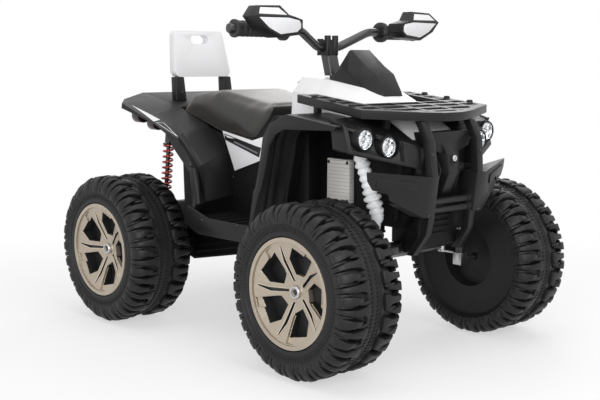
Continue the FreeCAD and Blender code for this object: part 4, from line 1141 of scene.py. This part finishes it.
def swelled(piece):
    """Blow the cover up a little with a cloth's pressure, most on top, and settle its folds."""
    before = [vertex.co.copy() for vertex in piece.data.vertices]
    facing = [vertex.normal.copy() for vertex in piece.data.vertices]
    choose(piece)
    cover = piece.modifiers.new("Cover", "CLOTH")
    cover.settings.use_pressure = True
    cover.settings.uniform_pressure_force = SEAT_PRESSURE
    cover.settings.effector_weights.gravity = 0
    cover.point_cache.frame_end = SEAT_STEPS
    for step in range(1, SEAT_STEPS + 1):
        bpy.context.scene.frame_set(step)
    bpy.ops.object.modifier_apply(modifier=cover.name)
    bpy.context.scene.frame_set(1)
    for vertex, place, normal in zip(piece.data.vertices, before, facing):
        reach = SEAT_SWELL * min(1.0, max(0.0, normal.z + SEAT_FACING))
        move = vertex.co - place
        if move.length > reach:
            vertex.co = place + move.normalized() * reach
    return modify(piece, "SMOOTH", factor=0.5, iterations=SEAT_SETTLING)


def stuffed(node, name):
    """A soft saddle: the node's form, rounded and swelled under its cover."""
    piece = paint(node_copy(node, name), "seat")
    modify(piece, "REMESH", mode="VOXEL", voxel_size=SEAT_VOXEL, use_smooth_shade=True)
    modify(piece, "SMOOTH", factor=0.5, iterations=SEAT_ROUNDING)
    swelled(piece)
    modify(piece, "SUBSURF", levels=1, render_levels=1)
    smooth(piece, 60)
    return place_on(piece, body_name(node), slot_name(node), node)


class QUAD_OT_seat(bpy.types.Operator):
    """Finish the seat and the backrest"""

    bl_idname = "quad.seat"
    bl_label = "Seat"

    def execute(self, context):
        cushion = stuffed("seat", "seat_cushion")
        finished("backrest_panel", "backrest_shell", "white", trim().fine_edge)
        finished("backrest_frame", "backrest_posts", "body", trim().edge)
        return {"FINISHED"}


# Studio lamps are a name, a place, a width and height in metres, and a power in watts
STUDIO_LAMPS = [
    ("top_box", (0.3, -0.2, 2.6), (2.4, 1.8), 24),
    ("key_box", (2.2, -0.4, 1.7), (1.2, 1.4), 14),
    ("fill_box", (1.6, -2.4, 1.0), (1.6, 1.2), 38),
    ("rim_box", (-1.2, 1.9, 1.6), (1.4, 1.2), 12),
]
MIDDLE = Vector((0, 0, 0.35))
FLOOR_SIZE = 14
FLOOR_NEAR, FLOOR_FAR = 0.55, 1.6
FLOOR_GLOW = 0.55


def soft_lamp(name, place, size, power):
    clear_choice()
    way = MIDDLE - Vector(place)
    bpy.ops.object.light_add(type="AREA", location=place, rotation=way.to_track_quat("-Z", "Y").to_euler())
    lamp = bpy.context.active_object
    lamp.name = name
    lamp.data.shape = "RECTANGLE"
    lamp.data.size, lamp.data.size_y = size
    lamp.data.energy = power


def photo_camera(settings):
    clear_choice()
    turn = Euler((math.pi / 2 - settings.elevation, 0, settings.azimuth))
    bpy.ops.object.camera_add(location=settings.place, rotation=turn)
    camera = bpy.context.active_object
    camera.name = "photo_camera"
    camera.data.sensor_width = 36
    camera.data.lens = settings.lens
    camera.data.clip_end = 60
    return camera


def paper():
    """Pale paper that takes the shadow near the quad bike and fades to white round it."""
    finish = Finish("floor_paper", (0.93, 0.93, 0.94), 0.6)
    white = finish.node("ShaderNodeEmission", values={"Color": (1, 1, 1, 1), "Strength": 1.0})
    distance = finish.node("ShaderNodeVectorMath", {"operation": "LENGTH"}, {0: finish.place()}, "Value")
    reach = {"Value": distance, "From Min": FLOOR_NEAR, "From Max": FLOOR_FAR}
    fade = finish.node("ShaderNodeMapRange", {"interpolation_type": "SMOOTHSTEP"}, reach)
    share = (fade * (1 - FLOOR_GLOW) + FLOOR_GLOW) * finish.lamp_rays()
    lit = Wire(finish, finish.shader.outputs[0])
    blend = finish.node("ShaderNodeMixShader", values={0: share, 1: lit, 2: white})
    finish.link(blend, finish.tree.nodes["Material Output"].inputs["Surface"])
    return finish.material


def surroundings(level):
    """An even studio that shows white to the camera and in what shines, and lights at its level."""
    world = bpy.data.worlds.new("studio")
    world.use_nodes = True
    nodes = Nodes(world.node_tree)
    sky = nodes.tree.nodes["Background"]
    sky.inputs["Color"].default_value = (1, 1, 1, 1)
    nodes.link(nodes.lamp_rays() * (1 - level) + level, sky.inputs["Strength"])
    return world


class QUAD_OT_stage(bpy.types.Operator):
    """Set up the floor, the lights and the camera"""

    bl_idname = "quad.stage"
    bl_label = "Stage"

    def execute(self, context):
        settings = context.scene.quad_stage
        context.scene.camera = photo_camera(settings)
        bpy.ops.mesh.primitive_plane_add(size=FLOOR_SIZE, location=ORIGIN)
        floor = bpy.context.active_object
        floor.name = "floor"
        floor.data.materials.append(paper())
        for name, place, size, power in STUDIO_LAMPS:
            soft_lamp(name, place, size, power)
        context.scene.world = surroundings(settings.surround)
        context.scene.view_settings.view_transform = "Standard"
        return {"FINISHED"}


# Bolt heads sit on the named piece next to a place, right side
BOLT_SPOTS = [
    ("bull_bar", (0.470, -0.075, 0.425)),
    ("bull_bar", (0.470, -0.078, 0.300)),
    ("rear_wing_right", (-0.112, -0.25, 0.290)),
    ("rear_wing_right", (-0.118, -0.25, 0.372)),
    ("foot_boards", (-0.060, -0.26, 0.258)),
    ("foot_boards", (0.060, -0.26, 0.258)),
    ("lined_panels", (0.189, -0.12, 0.316)),
    ("lined_panels", (0.243, -0.12, 0.316)),
    ("lined_panels", (0.189, -0.12, 0.395)),
    ("lined_panels", (0.243, -0.12, 0.395)),
    ("backrest_posts", (-0.330, -0.072, 0.530)),
    ("body_tub", (-0.100, -0.15, 0.340)),
    ("body_tub", (0.090, -0.15, 0.400)),
]


class QUAD_OT_bolts(bpy.types.Operator):
    """Put the bolt heads on the body"""

    bl_idname = "quad.bolts"
    bl_label = "Bolts"

    def execute(self, context):
        bolts = [bolt_on(bpy.data.objects[name], near) for name, near in BOLT_SPOTS]
        place_on(both_sides("bolt_heads", bolts), "chassis", "black_steel")
        return {"FINISHED"}


class QUAD_PT_panel(bpy.types.Panel):
    """List the sizes, the colours and the steps"""

    bl_idname = "QUAD_PT_panel"
    bl_label = "Quad bike"
    bl_space_type = "VIEW_3D"
    bl_region_type = "UI"
    bl_category = "Quad bike"

    def draw(self, context):
        for group in GROUPS:
            settings = getattr(context.scene, group)
            for key in settings.__annotations__:
                self.layout.prop(settings, key)
        for operator in OPERATORS:
            self.layout.operator(operator.bl_idname)


GROUPS = {
    "quad_colours": QuadColours, "quad_tyre": QuadTyre, "quad_trim": QuadTrim, "quad_stage": QuadStage,
}
OPERATORS = (
    QUAD_OT_stage, QUAD_OT_tyres, QUAD_OT_rims, QUAD_OT_running_gear, QUAD_OT_steering, QUAD_OT_body,
    QUAD_OT_front, QUAD_OT_seat, QUAD_OT_bolts,
)


def register():
    for kind in (*GROUPS.values(), *OPERATORS, QUAD_PT_panel):
        bpy.utils.register_class(kind)
    for name, kind in GROUPS.items():
        setattr(bpy.types.Scene, name, PointerProperty(type=kind))


def unregister():
    for name in GROUPS:
        delattr(bpy.types.Scene, name)
    for kind in reversed((*GROUPS.values(), *OPERATORS, QUAD_PT_panel)):
        bpy.utils.unregister_class(kind)


def main():
    register()
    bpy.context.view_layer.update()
    FINISH.update(make_finishes())
    for operator in OPERATORS:
        group, name = operator.bl_idname.split(".")
        getattr(getattr(bpy.ops, group), name)()
    clear_choice()


if __name__ == "__main__":
    main()
